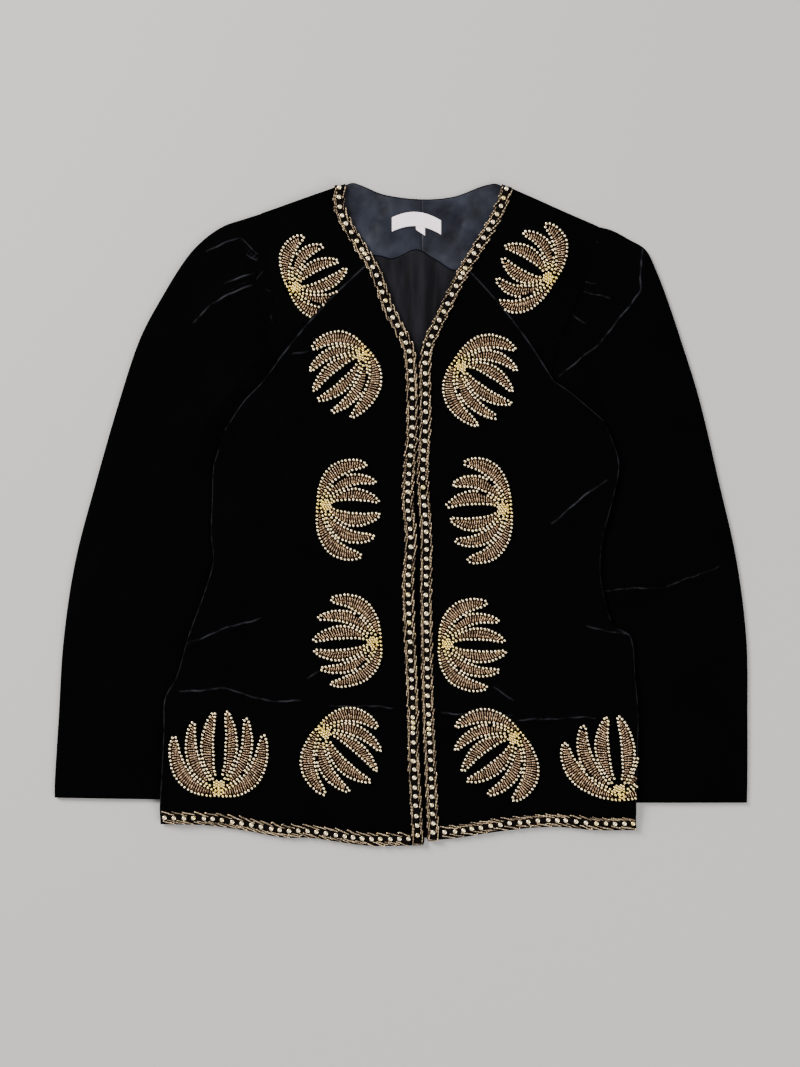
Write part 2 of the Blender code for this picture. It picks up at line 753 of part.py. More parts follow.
def satin_sheet(name, first_x, last_x, top_of, foot_of, across, down, lift, satin, collection):
    """A satin piece in the neck between two borders, lying on what is below it."""

    def place(u, v):
        x = mix(first_x, last_x, u)
        y = mix(top_of(x), foot_of(x), v)
        return Vector((x, y, lift + SATIN_WALL))

    mesh = surface(across, down, place)
    finish(name, thicken(mesh, SATIN_WALL), satin, collection)


def make_neck(satin, lining, label, collection):
    """The satin facing in two halves, the lining below it, and the bare label with its tab."""
    lift = BACK_WALL + SEAM_GAP

    def facing_top(x):
        return neck_outline(x) - 1.2

    def facing_foot(x):
        return hermite(column(FACING_HEM, "x", "y"), x)

    satin_sheet("back_neck_facing_right", NECK_RIGHT, CENTRE_BACK - SEAM_GAP / 2,
                facing_top, facing_foot, 10, 2, lift, satin, collection)
    satin_sheet("back_neck_facing_left", CENTRE_BACK + SEAM_GAP / 2, NECK_LEFT,
                facing_top, facing_foot, 10, 2, lift, satin, collection)

    def lining_place(u, v):
        first_x = mix(NECK_RIGHT, LINING_FOOT_RIGHT, v)
        last_x = mix(NECK_LEFT, LINING_FOOT_LEFT, v)
        x = mix(first_x, last_x, u)
        y = mix(facing_foot(x) - CURVED_SEAM_GAP, LINING_FOOT, v)
        pleat = PLEAT_RISE * math.exp(-(((x - PLEAT_X) / PLEAT_WIDTH) ** 2))
        return Vector((x, y, lift + SATIN_WALL + pleat * (1.0 - smooth(0.2, 0.75, v))))

    mesh = surface(20, 4, lining_place)
    finish("back_lining", thicken(mesh, SATIN_WALL), lining, collection)

    label_lift = lift + SATIN_WALL + SEAM_GAP

    def label_top(x):
        share = (x - LABEL_RIGHT) / (LABEL_LEFT - LABEL_RIGHT)
        arch = math.sin(math.pi * (0.12 + 0.76 * share)) ** 0.9
        return LABEL_TOP + LABEL_ARCH * arch - LABEL_DROP * share

    def label_foot(x):
        return label_top(x) - LABEL_HEIGHT

    def tab_top(x):
        return label_foot(x) - SEAM_GAP

    satin_sheet("label", LABEL_RIGHT, LABEL_LEFT, label_top, label_foot, 9, 1,
                label_lift, label, collection)
    satin_sheet("size_tab", TAB_RIGHT, TAB_LEFT, tab_top, lambda x: TAB_FOOT, 2, 1,
                label_lift, label, collection)


def sleeve_columns(width):
    """Places across a sleeve's top, in millimetres from its outer border."""
    gathered = 0.42 * width
    places = [2.5 + (gathered - 2.5) * k / (2 * GATHERS) for k in range(2 * GATHERS + 1)]
    rest = 7
    places += [mix(gathered, width - 2.5, k / rest) for k in range(1, rest + 1)]
    return places


def outside_body(side, point):
    """How far a sleeve's point lies outside the front's side border."""
    return side.sign * point.x - side_border(side, point.y)


def sleeve_ring(side, along, outside):
    """One ring of a sleeve's wall: over the top from outer to inner border, back below."""
    _, width = sleeve_place(side, along, 0.5)
    from_seam = along * SEAM_TO_CUFF
    inset = 0.0 if outside else SLEEVE_WALL
    middle = SLEEVE_FLAT / 2
    ring = []

    def add(distance, height):
        distance = min(max(distance, inset), width - inset)
        point, _ = sleeve_place(side, along, distance / width)
        ring.append(Vector((point.x, point.y, height)))

    add(0.0, middle)
    columns = sleeve_columns(width)
    for number, distance in enumerate(columns):
        point, _ = sleeve_place(side, along, distance / width)
        clear = smooth(3.0, 26.0, outside_body(side, point))
        head = smooth(0.0, 0.10, along) * (1.0 - smooth(0.30, 0.75, along))
        crown = math.sin(math.pi * min(max(distance / width, 0.0), 1.0)) ** 0.6
        arm = 0.35 * (1.0 - smooth(0.86, 0.98, along))
        puff = clear * crown * max(head, arm)
        top = SLEEVE_FLAT + PUFF_RISE * puff
        wall = SLEEVE_WALL + PUFF_WALL * puff
        if not outside:
            add(max(distance, inset + 1.5) if distance < width / 2
                else min(distance, width - inset - 1.5), top - wall)
            continue
        if 0 < number < 2 * GATHERS and number % 2 == 1:
            window = math.sin(math.pi * number / (2 * GATHERS)) ** 0.5
            uneven = 0.8 + 0.2 * math.sin(2.3 * number)
            top += GATHER_RISE * window * uneven * math.exp(-from_seam / GATHER_REACH)
        top += clear * crease_rise(side.folds, point.x, point.y)
        add(distance, top)
    add(width, middle)
    floor = 0.0 if outside else SLEEVE_WALL
    near = inset + 1.5
    for distance in (width - near, 0.75 * width, 0.5 * width, 0.25 * width, near):
        add(distance, floor)
    return ring


def make_sleeve(side, velvet, collection):
    """A sleeve as a flattened tube, open at armhole and cuff."""
    alongs = [(k / SLEEVE_RINGS) ** 1.15 for k in range(SLEEVE_RINGS + 1)]
    rings = [sleeve_ring(side, along, True) for along in alongs]
    rings += [sleeve_ring(side, along, False) for along in reversed(alongs)]
    mesh = bmesh.new()
    loft(mesh, rings, True)
    finish(f"sleeve_{side.name}", mesh, velvet, collection)


def trim_ring(centre, normal, half, read, bead):
    """One section of the beaded trim: a flat foot, two ropes and the beads between."""
    inner = half - 0.9
    ends = []
    for sign in (-1.0, 1.0):
        spot = centre + normal * (sign * inner)
        ends.append(read(spot.x, spot.y))
    if None in ends:
        ends = [max(e for e in ends if e is not None)] * 2
    middle = read(centre.x, centre.y)
    sag = 0.0 if middle is None else max(0.0, middle - (ends[0] + ends[1]) / 2)
    low = [end + RESTING_GAP + 0.15 + sag for end in ends]
    left = centre - normal * half
    right = centre + normal * half
    rope_left = centre - normal * (half - 1.6)
    rope_right = centre + normal * (half - 1.6)
    crown = TRIM_BEAD if bead else TRIM_GROUND
    return [
        Vector((left.x, left.y, low[0])),
        Vector((right.x, right.y, low[1])),
        Vector((rope_right.x, rope_right.y, low[1] + TRIM_ROPE)),
        Vector((centre.x, centre.y, (low[0] + low[1]) / 2 + crown)),
        Vector((rope_left.x, rope_left.y, low[0] + TRIM_ROPE)),
    ]


def even_path(points, step):
    """Points spaced evenly along a fine line, step apart, with an odd count."""
    lengths = [0.0]
    for before, after in zip(points, points[1:]):
        lengths.append(lengths[-1] + (after - before).length)
    parts = 2 * round(lengths[-1] / step / 2)
    path = []
    for k in range(parts + 1):
        want = lengths[-1] * k / parts
        index = next(i for i in range(1, len(points)) if lengths[i] >= want - 1e-9)
        span = lengths[index] - lengths[index - 1]
        path.append(points[index - 1].lerp(points[index], (want - lengths[index - 1]) / span))
    return path


def make_trim(name, path, half, read, beads, collection):
    """A beaded trim along a path, with a bead at every second section."""
    mesh = bmesh.new()
    rings = []
    for k, centre in enumerate(path):
        before = path[max(k - 1, 0)]
        after = path[min(k + 1, len(path) - 1)]
        run = (after - before).normalized()
        normal = Vector((-run.y, run.x))
        rings.append(trim_ring(centre, normal, half, read, k % 2 == 1))
    loft(mesh, rings, False)
    finish(name, mesh, beads, collection)


def front_trim_path(side):
    top = side.trim[0].y - 1.5
    foot = side.sections[-1].edge_y + 1.0
    count = 260
    fine = [trim_point(side, mix(top, foot, k / count), 0.0) for k in range(count + 1)]
    return even_path(fine, BEAD_PITCH / 2)


def hem_trim_path(side):
    """The middle line of the hem's trim, from the side border to the front trim."""
    hem = side.sections[-1]
    edge = trim_edge(side, hem.edge_y)
    stop = trim_x(side, hem.edge_y + HEM_TRIM_HALF) + side.sign * (TRIM_HALF + 0.8)
    start = hem.side_x - side.sign * 1.0
    fine = []
    count = 80
    for k in range(count + 1):
        x = mix(start, stop, k / count)
        share = (x - hem.side_x) / (edge.x - hem.side_x)
        y = mix(hem.side_y, edge.y, share) + hem.bow * math.sin(math.pi * share)
        fine.append(Vector((x, y + HEM_TRIM_HALF - TRIM_INSET)))
    return even_path(fine, BEAD_PITCH / 2)


def motif_points():
    """The outline of a motif about its knot, with its axis along +X, at scale 1."""
    half = list(MOTIF_HALF)
    around = [VOID_FOOT] + half + [KNOT_BACK]
    around += [Reach(reach.name, -reach.angle, reach.radius) for reach in reversed(half)]
    points = []
    for reach in around:
        turn = math.radians(reach.angle)
        points.append(Vector((reach.radius * math.cos(turn), reach.radius * math.sin(turn), 0.0)))
    return points


def motif_cutter(motif, collection):
    """An upright prism of a motif's outline, in its place."""
    mesh = bmesh.new()
    place = (
        Matrix.Translation(Vector((motif.x, motif.y, 0.0)))
        @ Matrix.Rotation(math.radians(motif.turn), 4, "Z")
        @ Matrix.Scale(motif.scale, 4)
    )
    ring = [mesh.verts.new(place @ point * MM) for point in motif_points()]
    base = mesh.faces.new(ring)
    grown = bmesh.ops.extrude_face_region(mesh, geom=[base])
    above = [item for item in grown["geom"] if isinstance(item, bmesh.types.BMVert)]
    bmesh.ops.translate(mesh, verts=above, vec=(0.0, 0.0, 40.0 * MM))
    bmesh.ops.recalc_face_normals(mesh, faces=mesh.faces[:])
    data = bpy.data.meshes.new("motif_cutter")
    mesh.to_mesh(data)
    mesh.free()
    cutter = bpy.data.objects.new(f"cutter_{motif.name}", data)
    cutter.hide_render = True
    cutter.display_type = "WIRE"
    collection.objects.link(cutter)
    return cutter


def make_motif(side, motif, top, beads, collection, cutters):
    """A motif cut from rows of the front's own top points, moved out from the cloth."""
    across = len(top[0]) - 1
    down = len(top) - 1

    def lifted(u, v):
        spot = top[round(v * down)][round(u * across)].copy()
        spot.z += RESTING_GAP + MOTIF_THICK
        return spot

    mesh = thicken(surface(across, down, lifted), MOTIF_THICK)
    piece = finish(f"motif_{side.name}_{motif.name}", mesh, beads, collection)
    cut = piece.modifiers.new("outline", "BOOLEAN")
    cut.operation = "INTERSECT"
    cut.object = motif_cutter(motif, cutters)


def main():
    for item in list(bpy.data.objects):
        bpy.data.objects.remove(item)
    scene = bpy.context.scene
    collection = bpy.data.collections.new("beaded_jacket")
    cutters = bpy.data.collections.new("cutters")
    scene.collection.children.link(collection)
    scene.collection.children.link(cutters)

    velvet = material("black velvet", (0.008, 0.008, 0.010), 0.85, sheen=0.6)
    satin = material("blue-grey satin", (0.030, 0.036, 0.050), 0.35)
    lining = material("dark lining", (0.022, 0.020, 0.026), 0.45)
    label = material("woven label", (0.80, 0.74, 0.76), 0.60)
    gold = material("gold glass beads", (0.62, 0.45, 0.22), 0.25, metallic=0.9)

    make_back(velvet, collection)
    make_neck(satin, lining, label, collection)
    for side in (RIGHT, LEFT):
        read, above, below = make_front(side, velvet, collection)
        make_sleeve(side, velvet, collection)
        make_trim(f"front_trim_{side.name}", front_trim_path(side), TRIM_HALF, read,
                  gold, collection)
        make_trim(f"hem_trim_{side.name}", hem_trim_path(side), HEM_TRIM_HALF, read,
                  gold, collection)
        for motif in side.motifs:
            top = above if motif.name == "shoulder" else below
            make_motif(side, motif, top, gold, collection, cutters)


main()
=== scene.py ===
# %% [markdown]
# # A beaded velvet evening jacket, laid flat on a floor
# The real one is a lined jacket of black velvet with full sleeves, gathered into the armholes. Round
# gold beads between ropes of bugle beads edge its fronts and hem, and twelve fans of seed beads and
# bugles lie on the fronts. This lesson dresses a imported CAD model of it. Each piece keeps its place
# and size, and gets the folds, beads and cloth that a camera sees.

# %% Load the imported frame
import math
import random
from collections import namedtuple

import bpy
import numpy as np
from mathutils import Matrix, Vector
from mathutils.bvhtree import BVHTree


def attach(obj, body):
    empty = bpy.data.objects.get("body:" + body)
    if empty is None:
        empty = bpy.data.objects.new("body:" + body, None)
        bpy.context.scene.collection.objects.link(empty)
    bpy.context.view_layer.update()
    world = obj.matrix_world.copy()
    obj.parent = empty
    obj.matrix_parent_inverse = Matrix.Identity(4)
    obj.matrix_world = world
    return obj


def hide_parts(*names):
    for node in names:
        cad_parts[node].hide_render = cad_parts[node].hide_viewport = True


MM = 0.001
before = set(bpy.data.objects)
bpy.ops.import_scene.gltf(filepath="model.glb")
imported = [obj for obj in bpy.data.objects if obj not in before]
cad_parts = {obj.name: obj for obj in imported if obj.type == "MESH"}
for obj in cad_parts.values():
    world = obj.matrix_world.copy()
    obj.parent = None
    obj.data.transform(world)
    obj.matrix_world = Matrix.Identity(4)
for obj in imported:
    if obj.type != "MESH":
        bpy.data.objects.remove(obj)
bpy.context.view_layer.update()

# %% [markdown]
# ## The camera
# The picture to match looks straight down, and one of its pixels is one millimetre on the jacket. A
# camera with a 50 mm lens sees 1067 mm from about a metre and a half. The sensor's long side is the
# picture's long side, so the sensor width of 36 mm belongs to its height.

# %% Set the camera
LENS_MM = 50.0
SENSOR_MM = 36.0
PICTURE_HEIGHT_MM = 1067.0
PICTURE_MIDDLE_MM = (-1.0, -19.5)

lens = bpy.data.cameras.new("picture_camera")
lens.lens = LENS_MM
lens.sensor_width = SENSOR_MM
camera = bpy.data.objects.new("picture_camera", lens)
distance = PICTURE_HEIGHT_MM * LENS_MM / SENSOR_MM
camera.location = Vector((*PICTURE_MIDDLE_MM, distance)) * MM
bpy.context.scene.collection.objects.link(camera)
bpy.context.scene.camera = camera
print("camera height in mm:", round(distance))

# %% [markdown]
# ## The pattern
# A tailor's pattern is a table of measures, and so is this one. All lengths are in millimetres, +X is
# the wearer's left, +Y the neck and +Z up. The rows of each table go from the neck or the armhole down.
# Keeping the CAD's own tables keeps every piece where the CAD has it.

# %% Write down the walls and gaps
BACK_WALL = 2.0
FRONT_WALL = 2.0
SATIN_WALL = 1.0
SLEEVE_WALL = 1.5
SLEEVE_FLAT = 4.2
SEAM_GAP = 0.3
LAYER_GAP = 0.5
BACK_LIFT = SLEEVE_FLAT + LAYER_GAP
FRONT_LIFT = BACK_LIFT + BACK_WALL + LAYER_GAP
FRONT_LOW = BACK_WALL + SEAM_GAP
SATIN_LIFT = SATIN_WALL + LAYER_GAP
FOLD_STEP = 2.5
TRIM_HALF = 5.8
HEM_TRIM_HALF = 6.4
TRIM_INSET = 0.4

# %% Write down the pattern of each side
# trim: the middle line of the front's beaded trim, x and y
RIGHT_TRIM = (
    (-61, 329), (-60.5, 303), (-48, 278), (-26, 242), (-13, 206), (2, 177),
    (8.4, 160), (11, 90), (6.6, 16), (9.8, -26), (7, -70), (11.5, -190),
    (12.5, -245), (17, -330),
)
LEFT_TRIM = (
    (106, 328), (99, 305), (82, 274), (63, 243), (41, 198), (28, 171),
    (24.2, 148), (24.4, 90), (21.8, 40), (25.4, -26), (25, -70), (27, -196),
    (29, -240), (32.5, -326),
)

# sections: side border x and y, height of the front edge, and bow
RIGHT_SECTIONS = (
    (-123, 151, 252, 0), (-139, 130, 230, 0), (-157, 111, 204, 0),
    (-175, 83, 178, 0), (-186, 50, 142, 0), (-188, 10, 90, 0),
    (-189, -20, 44, 0), (-187, -48, 0, 0), (-197, -82, -48, 0),
    (-211, -120, -96, 0), (-223, -161, -142, 0), (-235, -184, -180, 0),
    (-236, -215, -222, 0), (-238, -256, -266, -1), (-240, -292, -306, -2),
    (-240, -311, -331, -3),
)
LEFT_SECTIONS = (
    (151, 133, 247, 0), (168, 121, 222, 0), (186, 106, 196, 0),
    (201, 93, 170, 0), (208, 78, 138, 0), (217, 48, 92, 0),
    (209, 8, 46, 0), (200, -28, 0, 0), (199, -66, -46, 0),
    (210, -108, -92, 0), (229, -123, -120, 0), (233, -164, -158, 0),
    (236, -200, -200, 0), (235, -246, -246, 2.5), (234, -295, -300, 5),
    (235, -316, -327, 6.5),
)

# sleeve: outer border x and y, hidden inner border x and y
RIGHT_SLEEVE = (
    (-139, 300, -167, 44), (-158, 294, -168, 30), (-178, 287, -169, 16),
    (-198, 273, -171, 2), (-216, 253, -172, -12), (-239, 216, -174, -31),
    (-261, 174, -176, -51), (-281, 114, -180, -76), (-304, 34, -188, -106),
    (-325, -46, -198, -138), (-337, -126, -209, -172),
    (-342, -206, -218, -216), (-345.5, -262, -222, -262),
    (-346, -283, -225, -285),
)
LEFT_SLEEVE = (
    (196, 287, 191, 59), (211, 283, 191, 46), (228, 274, 190, 32),
    (244, 264, 188, 18), (254, 245, 185, 4), (266, 214, 182, -12),
    (280, 172, 180, -34), (298, 114, 181, -62), (317, 34, 186, -94),
    (335, -46, 196, -128), (345, -126, 209, -166), (346, -206, 218, -214),
    (346, -262, 220, -262), (345.5, -288, 220, -288),
)
print("rows in each trim, body and sleeve:", len(RIGHT_TRIM), len(RIGHT_SECTIONS), len(RIGHT_SLEEVE))

# %% Write down the creases and the fans
# A crease is a soft ridge: two ends, its height and its width. A fan is the place of its knot, the
# turn of its middle from +X in degrees, and its two halves. Each half has its own length, spread and
# slant, which says how much its outer petals fall short of the inner ones. One also has a pull in mm,
# which draws its outer petals up.
Crease = namedtuple("Crease", "x0 y0 x1 y1 rise width")
Fan = namedtuple("Fan", "name x y turn first second")

RIGHT_CREASES = (
    (-212, -128, -181, -116, 2, 9), (-181, -116, -138, -103, 1.8, 8),
    (-222, -177, -180, -173, 1.8, 7), (-180, -173, -125, -188, 1.6, 7),
    (-125, -188, -100, -185, 1.6, 6), (-94, -164, -82, -157, 1.2, 6),
    (-72, -192, -36, -191, 1.6, 6), (-36, -191, -8, -194, 1.6, 6),
    (-168, 40, -110, -30, 1.2, 18), (-150, -215, -138, -300, 1.4, 16),
    (-109, 159, -91, 163, 1.1, 4),
)
LEFT_CREASES = (
    (205, 35, 148, -10, 2.2, 9), (40, -198, 60, -199, 1.8, 6),
    (60, -199, 112, -200, 1.8, 7), (116, -206, 165, -203, 1.8, 7),
    (165, -203, 194, -203, 1.5, 7), (92, -172, 112, -186, 1.3, 6),
    (184, -112, 228, -120, 1.8, 8), (176, 96, 120, 60, 1.3, 16),
    (170, -220, 164, -300, 1.4, 16),
)
RIGHT_FOLDS = (
    (-148, 229, -191, 208, 2.4, 7), (-191, 208, -206, 190, 2, 6),
    (-145, 241, -176, 228, 1.8, 6), (-161, 275, -195, 262, 1.8, 7),
    (-160, 275, -143, 259, 1.5, 5),
    (-300, -10, -232, -52, 1.6, 10), (-262, 120, -300, -60, 1.4, 14),
    (-137.5, 287, -135.5, 279, 0.8, 3), (-155, 259, -142, 253, 1, 3),
    (-143.5, 234, -137, 242, 0.8, 3), (-136, 224.5, -129.5, 221.5, 0.9, 3),
    (-130, 199, -127.5, 189, 0.8, 3),
)
LEFT_FOLDS = (
    (240, 266, 238, 221, 2.4, 8), (238, 221, 198, 170, 2.4, 7),
    (198, 170, 158, 138, 1.6, 7), (200, -76, 262, -73, 1.4, 7),
    (262, -73, 318, -52, 1.6, 9), (262, 120, 300, -60, 1.4, 14),
    (182, 248, 188, 240, 1.3, 3), (178, 231, 195, 229.5, 1.3, 3.5),
    (181, 221, 208, 215.5, 0.9, 4), (188, 276, 197, 270, 1.3, 3.5),
    (172, 198, 184, 188, 0.9, 3.5),
)
RIGHT_FANS = (
    ("shoulder", -108, 224, 25.5, (0.89, 0.90, 0.40), (0.97, 0.86, 0.10)),
    ("chest", -36.3, 160.2, 221.1, (1.14, 0.84, -0.25), (1.05, 0.80, 0.60)),
    ("bust", -79, 9.5, -3.5, (0.98, 0.92, 0), (1.01, 1.05, 0)),
    ("waist", -24.1, -127.3, 184, (1.07, 0.83, -0.25), (1.06, 0.97, 0.15)),
    ("hem_front", -78.4, -214.8, -42, (1.14, 0.82, 0.50), (1.20, 0.98, 0.35)),
    ("hem_side", -181.4, -275.5, 88.6, (1.31, 0.96, 0.15), (1.35, 0.93, 0)),
)
LEFT_FANS = (
    ("shoulder", 149.5, 233.4, 150, (0.89, 0.97, 0.25), (0.95, 0.96, 0.55)),
    ("chest", 56.5, 150, -32, (1.03, 0.88, 0.15), (1.15, 0.90, -0.10)),
    ("bust", 106, 5.2, 184, (1.00, 1.02, -0.10), (1.01, 1.03, 0.15)),
    ("waist", 42.3, -129.6, -2, (1.05, 0.90, 0.10), (1.06, 0.90, -0.05)),
    ("hem_front", 115.5, -220.4, 218, (1.12, 1.03, 0.25), (1.10, 0.94, 0.28)),
    ("hem_side", 217.2, -279.2, 95, (1.33, 1.06, 0, 8), (1.32, 1.00, 0)),
)

# seam_bow and seam_skew shape the armhole seam, corner is the share of it where the fold's crest
# leaves it, and crest_bow is how far the crest bulges.
Side = namedtuple(
    "Side", "name sign trim sections sleeve creases folds fans seam_bow seam_skew corner crest_bow"
)


def side_of(name, sign, tables, creases, folds, fans, **numbers):
    arrays = [np.array(table, float) for table in tables]
    ridges_of = [[Crease(*row) for row in rows] for rows in (creases, folds)]
    return Side(name, sign, *arrays, *ridges_of, [Fan(*row) for row in fans], **numbers)


RIGHT = side_of(
    "right", -1, (RIGHT_TRIM, RIGHT_SECTIONS, RIGHT_SLEEVE), RIGHT_CREASES, RIGHT_FOLDS, RIGHT_FANS,
    seam_bow=33.0, seam_skew=1.4, corner=0.58, crest_bow=4.0,
)
LEFT = side_of(
    "left", 1, (LEFT_TRIM, LEFT_SECTIONS, LEFT_SLEEVE), LEFT_CREASES, LEFT_FOLDS, LEFT_FANS,
    seam_bow=42.0, seam_skew=1.76, corner=0.675, crest_bow=5.0,
)
print("fans:", len(RIGHT_FANS) + len(LEFT_FANS))

# %% [markdown]
# ## Curves and borders
# Cloth has no straight lines, so each table is read through a smooth curve that passes all its points.
# Working on whole arrays of places at once keeps the script quick, even with very fine meshes.

# %% Read the tables as smooth curves
def smooth(start, end, value):
    """0 before start, 1 after end, and a soft slope between."""
    share = np.clip((value - start) / (end - start), 0.0, 1.0)
    return share * share * (3.0 - 2.0 * share)


def mix(first, second, share):
    return first + (second - first) * share


def arch(share):
    """0 at both ends and 1 in the middle."""
    return np.sin(np.pi * share)


def bell(away, width):
    return np.exp(-((away / width) ** 2))


def curve(places, values, at):
    """Values on a smooth curve through (place, value) points, which are in order."""
    places = np.asarray(places, float)
    values = np.asarray(values, float)
    if places[0] > places[-1]:
        places = places[::-1]
        values = values[::-1]
    at = np.clip(np.asarray(at, float), places[0], places[-1])
    steps = np.diff(places)
    wide = steps.reshape((-1,) + (1,) * (values.ndim - 1))
    slopes = np.empty_like(values)
    slopes[1:-1] = (values[2:] - values[:-2]) / (wide[1:] + wide[:-1])
    slopes[0] = (values[1] - values[0]) / steps[0]
    slopes[-1] = (values[-1] - values[-2]) / steps[-1]
    index = np.clip(np.searchsorted(places, at, side="right") - 1, 0, len(places) - 2)
    step = steps[index]
    share = (at - places[index]) / step
    if values.ndim == 2:
        share = share[..., None]
        step = step[..., None]
    square = share * share
    cube = square * share
    return (
        (2 * cube - 3 * square + 1) * values[index]
        + (cube - 2 * square + share) * slopes[index] * step
        + (3 * square - 2 * cube) * values[index + 1]
        + (cube - square) * slopes[index + 1] * step
    )


def trim_x(side, y):
    return curve(side.trim[:, 1], side.trim[:, 0], y)


def trim_point(side, y, across):
    """Points beside the trim's middle line: across is positive towards the opening."""
    y = np.asarray(y, float)
    lean = (trim_x(side, y + 1.0) - trim_x(side, y - 1.0)) / 2.0
    length = np.sqrt(1.0 + lean * lean)
    return np.stack(
        [trim_x(side, y) - side.sign * across / length, y + side.sign * lean * across / length], -1
    )


def trim_edge(side, y):
    return trim_point(side, y, TRIM_HALF - TRIM_INSET)


def seam_bulge(side, share):
    return side.sign * side.seam_bow * arch(share**side.seam_skew)


SEAM_LAP = 0.4


def armhole_point(side, share):
    """Points of a front's border along the armhole seam, just over the sleeve's head."""
    outer_x, outer_y, inner_x, inner_y = side.sleeve[0]
    x = mix(outer_x, inner_x, share) - seam_bulge(side, share) + side.sign * SEAM_LAP
    return np.stack([x, mix(outer_y, inner_y, share) + 0.0 * share], -1)


def sleeve_place(side, along, share):
    """Places on a sleeve: along from armhole to cuff, share from its outer to its inner border."""
    rows = curve(np.arange(len(side.sleeve)), side.sleeve, along * (len(side.sleeve) - 1))
    x = mix(rows[..., 0], rows[..., 2], share)
    y = mix(rows[..., 1], rows[..., 3], share)
    fade = (1.0 - smooth(0.0, 0.5, along)) ** 1.3
    width = np.hypot(rows[..., 0] - rows[..., 2], rows[..., 1] - rows[..., 3])
    return x - fade * seam_bulge(side, share), y, width


# %% Find how far in each sleeve reaches, and the body's side borders
PROFILE_STEP = 5.0
FAR = 1000.0
profiles = {}
for side in (RIGHT, LEFT):
    along, share = np.meshgrid(np.linspace(0, 1, 321), np.linspace(0, 1, 241), indexing="ij")
    x, y, _ = sleeve_place(side, along, share)
    low = side.sleeve[-1, 3]
    count = int((side.sleeve[0, 1] - low) / PROFILE_STEP) + 1
    reach = np.full(count, FAR)
    index = np.clip(np.round((y - low) / PROFILE_STEP).astype(int), 0, count - 1)
    np.minimum.at(reach, index, side.sign * x)
    profiles[side.name] = (low + PROFILE_STEP * np.arange(count), reach)
    print(side.name, "sleeve reaches in to", round(float(reach.min())), "mm from the middle")


def inner_border(side, y):
    """How far out the sleeve's hidden inner border lies."""
    return np.interp(y, *profiles[side.name])


def side_border(side, y):
    """How far out the front's side border lies."""
    border = np.abs(curve(side.sections[:, 1], side.sections[:, 0], y))
    return np.where(y > side.sections[0, 1], inner_border(side, y), border)


# %% [markdown]
# ## How high the cloth lies
# The sleeves lie on the floor with their inner edges under the body. So the back rises over them, and
# the fronts rise over both. Each front is also folded over on itself, from the neck edge to the
# armhole, which gives a crest with a sharp line. Creases are ridges with a narrow top: on velvet only
# such a line catches the light.

# %% Add up the layers
NECK_MIDDLE = (20.0, 250.0)
NECK_REACH = (128.0, 158.0)


def over_cuff(side, y):
    """0 below the cuff, where no sleeve lies under the body, and 1 above it."""
    cuff = side.sleeve[-1, 3]
    return smooth(cuff - 24.0, cuff - 6.0, y)


def back_lift(side, x, y):
    """How far the back rises over a sleeve: from the underarm down, and only near its own side."""
    underarm = side.sleeve[0, 3]
    along = smooth(underarm + 60.0, underarm + 28.0, y) * over_cuff(side, y)
    return BACK_LIFT * along * (1.0 - smooth(11.0, 27.0, inner_border(side, y) - side.sign * x))


def front_lift(side, x, y):
    """The same for a front, which also rises over the back and starts to rise further up."""
    underarm = side.sleeve[0, 3]
    along = mix(0.55, 1.0, smooth(underarm + 82.0, underarm + 46.0, y)) * over_cuff(side, y)
    inward = inner_border(side, y) - side.sign * x
    return (FRONT_LIFT - FRONT_LOW) * along * (1.0 - smooth(17.0, 47.0, inward))


def neck_lift(x, y):
    """How far a front rises over the facing and the lining, which lie round the open neck."""
    away = np.hypot(x - NECK_MIDDLE[0], y - NECK_MIDDLE[1])
    return SATIN_LIFT * (1.0 - smooth(*NECK_REACH, away))


# %% Add the ridges, the waves and the crest
CREST_RISE = 2.6
CREST_WIDTH = 26.0
CREST_STEPS = 12
OUTER_STEPS = 8


def ridges(creases, x, y):
    """The highest of some ridges at each place: half a soft mound, half a crisp line on it."""
    rise = np.zeros_like(x)
    for crease in creases:
        run_x = crease.x1 - crease.x0
        run_y = crease.y1 - crease.y0
        share = ((x - crease.x0) * run_x + (y - crease.y0) * run_y) / (run_x**2 + run_y**2)
        share = np.clip(share, 0.0, 1.0)
        away = np.hypot(x - crease.x0 - run_x * share, y - crease.y0 - run_y * share)
        ends = 0.35 + 0.65 * arch(share)
        crisp = np.exp(-away / (0.35 * crease.width))
        rise = np.maximum(rise, crease.rise * ends * (0.6 * bell(away, crease.width) + 0.4 * crisp))
    return rise


def soft_waves(x, y, rise):
    """The slow rise and fall of cloth that has been laid down by hand."""
    broad = np.sin(x / 23.0 + 1.3 * np.sin(y / 41.0)) * np.sin(y / 31.0 + 0.7)
    narrow = np.sin(x / 13.0 - y / 19.0 + 2.1) * 0.35
    return rise * (broad + narrow)


def crest_inner(side, share):
    """The fold's crest from the armhole seam to the trim, with its slight bulge."""
    corner = armhole_point(side, side.corner)
    edge = trim_edge(side, side.sections[0, 2])
    run = edge - corner
    out = side.sign * np.array([run[1], -run[0]]) / np.hypot(*run)
    share = np.asarray(share, float)[:, None]
    return corner + run * share + out * side.crest_bow * arch(share)


def crest_outer(side, share):
    """The crest from its outer end, over the sleeve head, to the armhole seam."""
    points = np.vstack([side.sections[3:0:-1, :2], armhole_point(side, side.corner)])
    return curve(np.arange(4), points, np.asarray(share, float) * 3.0)


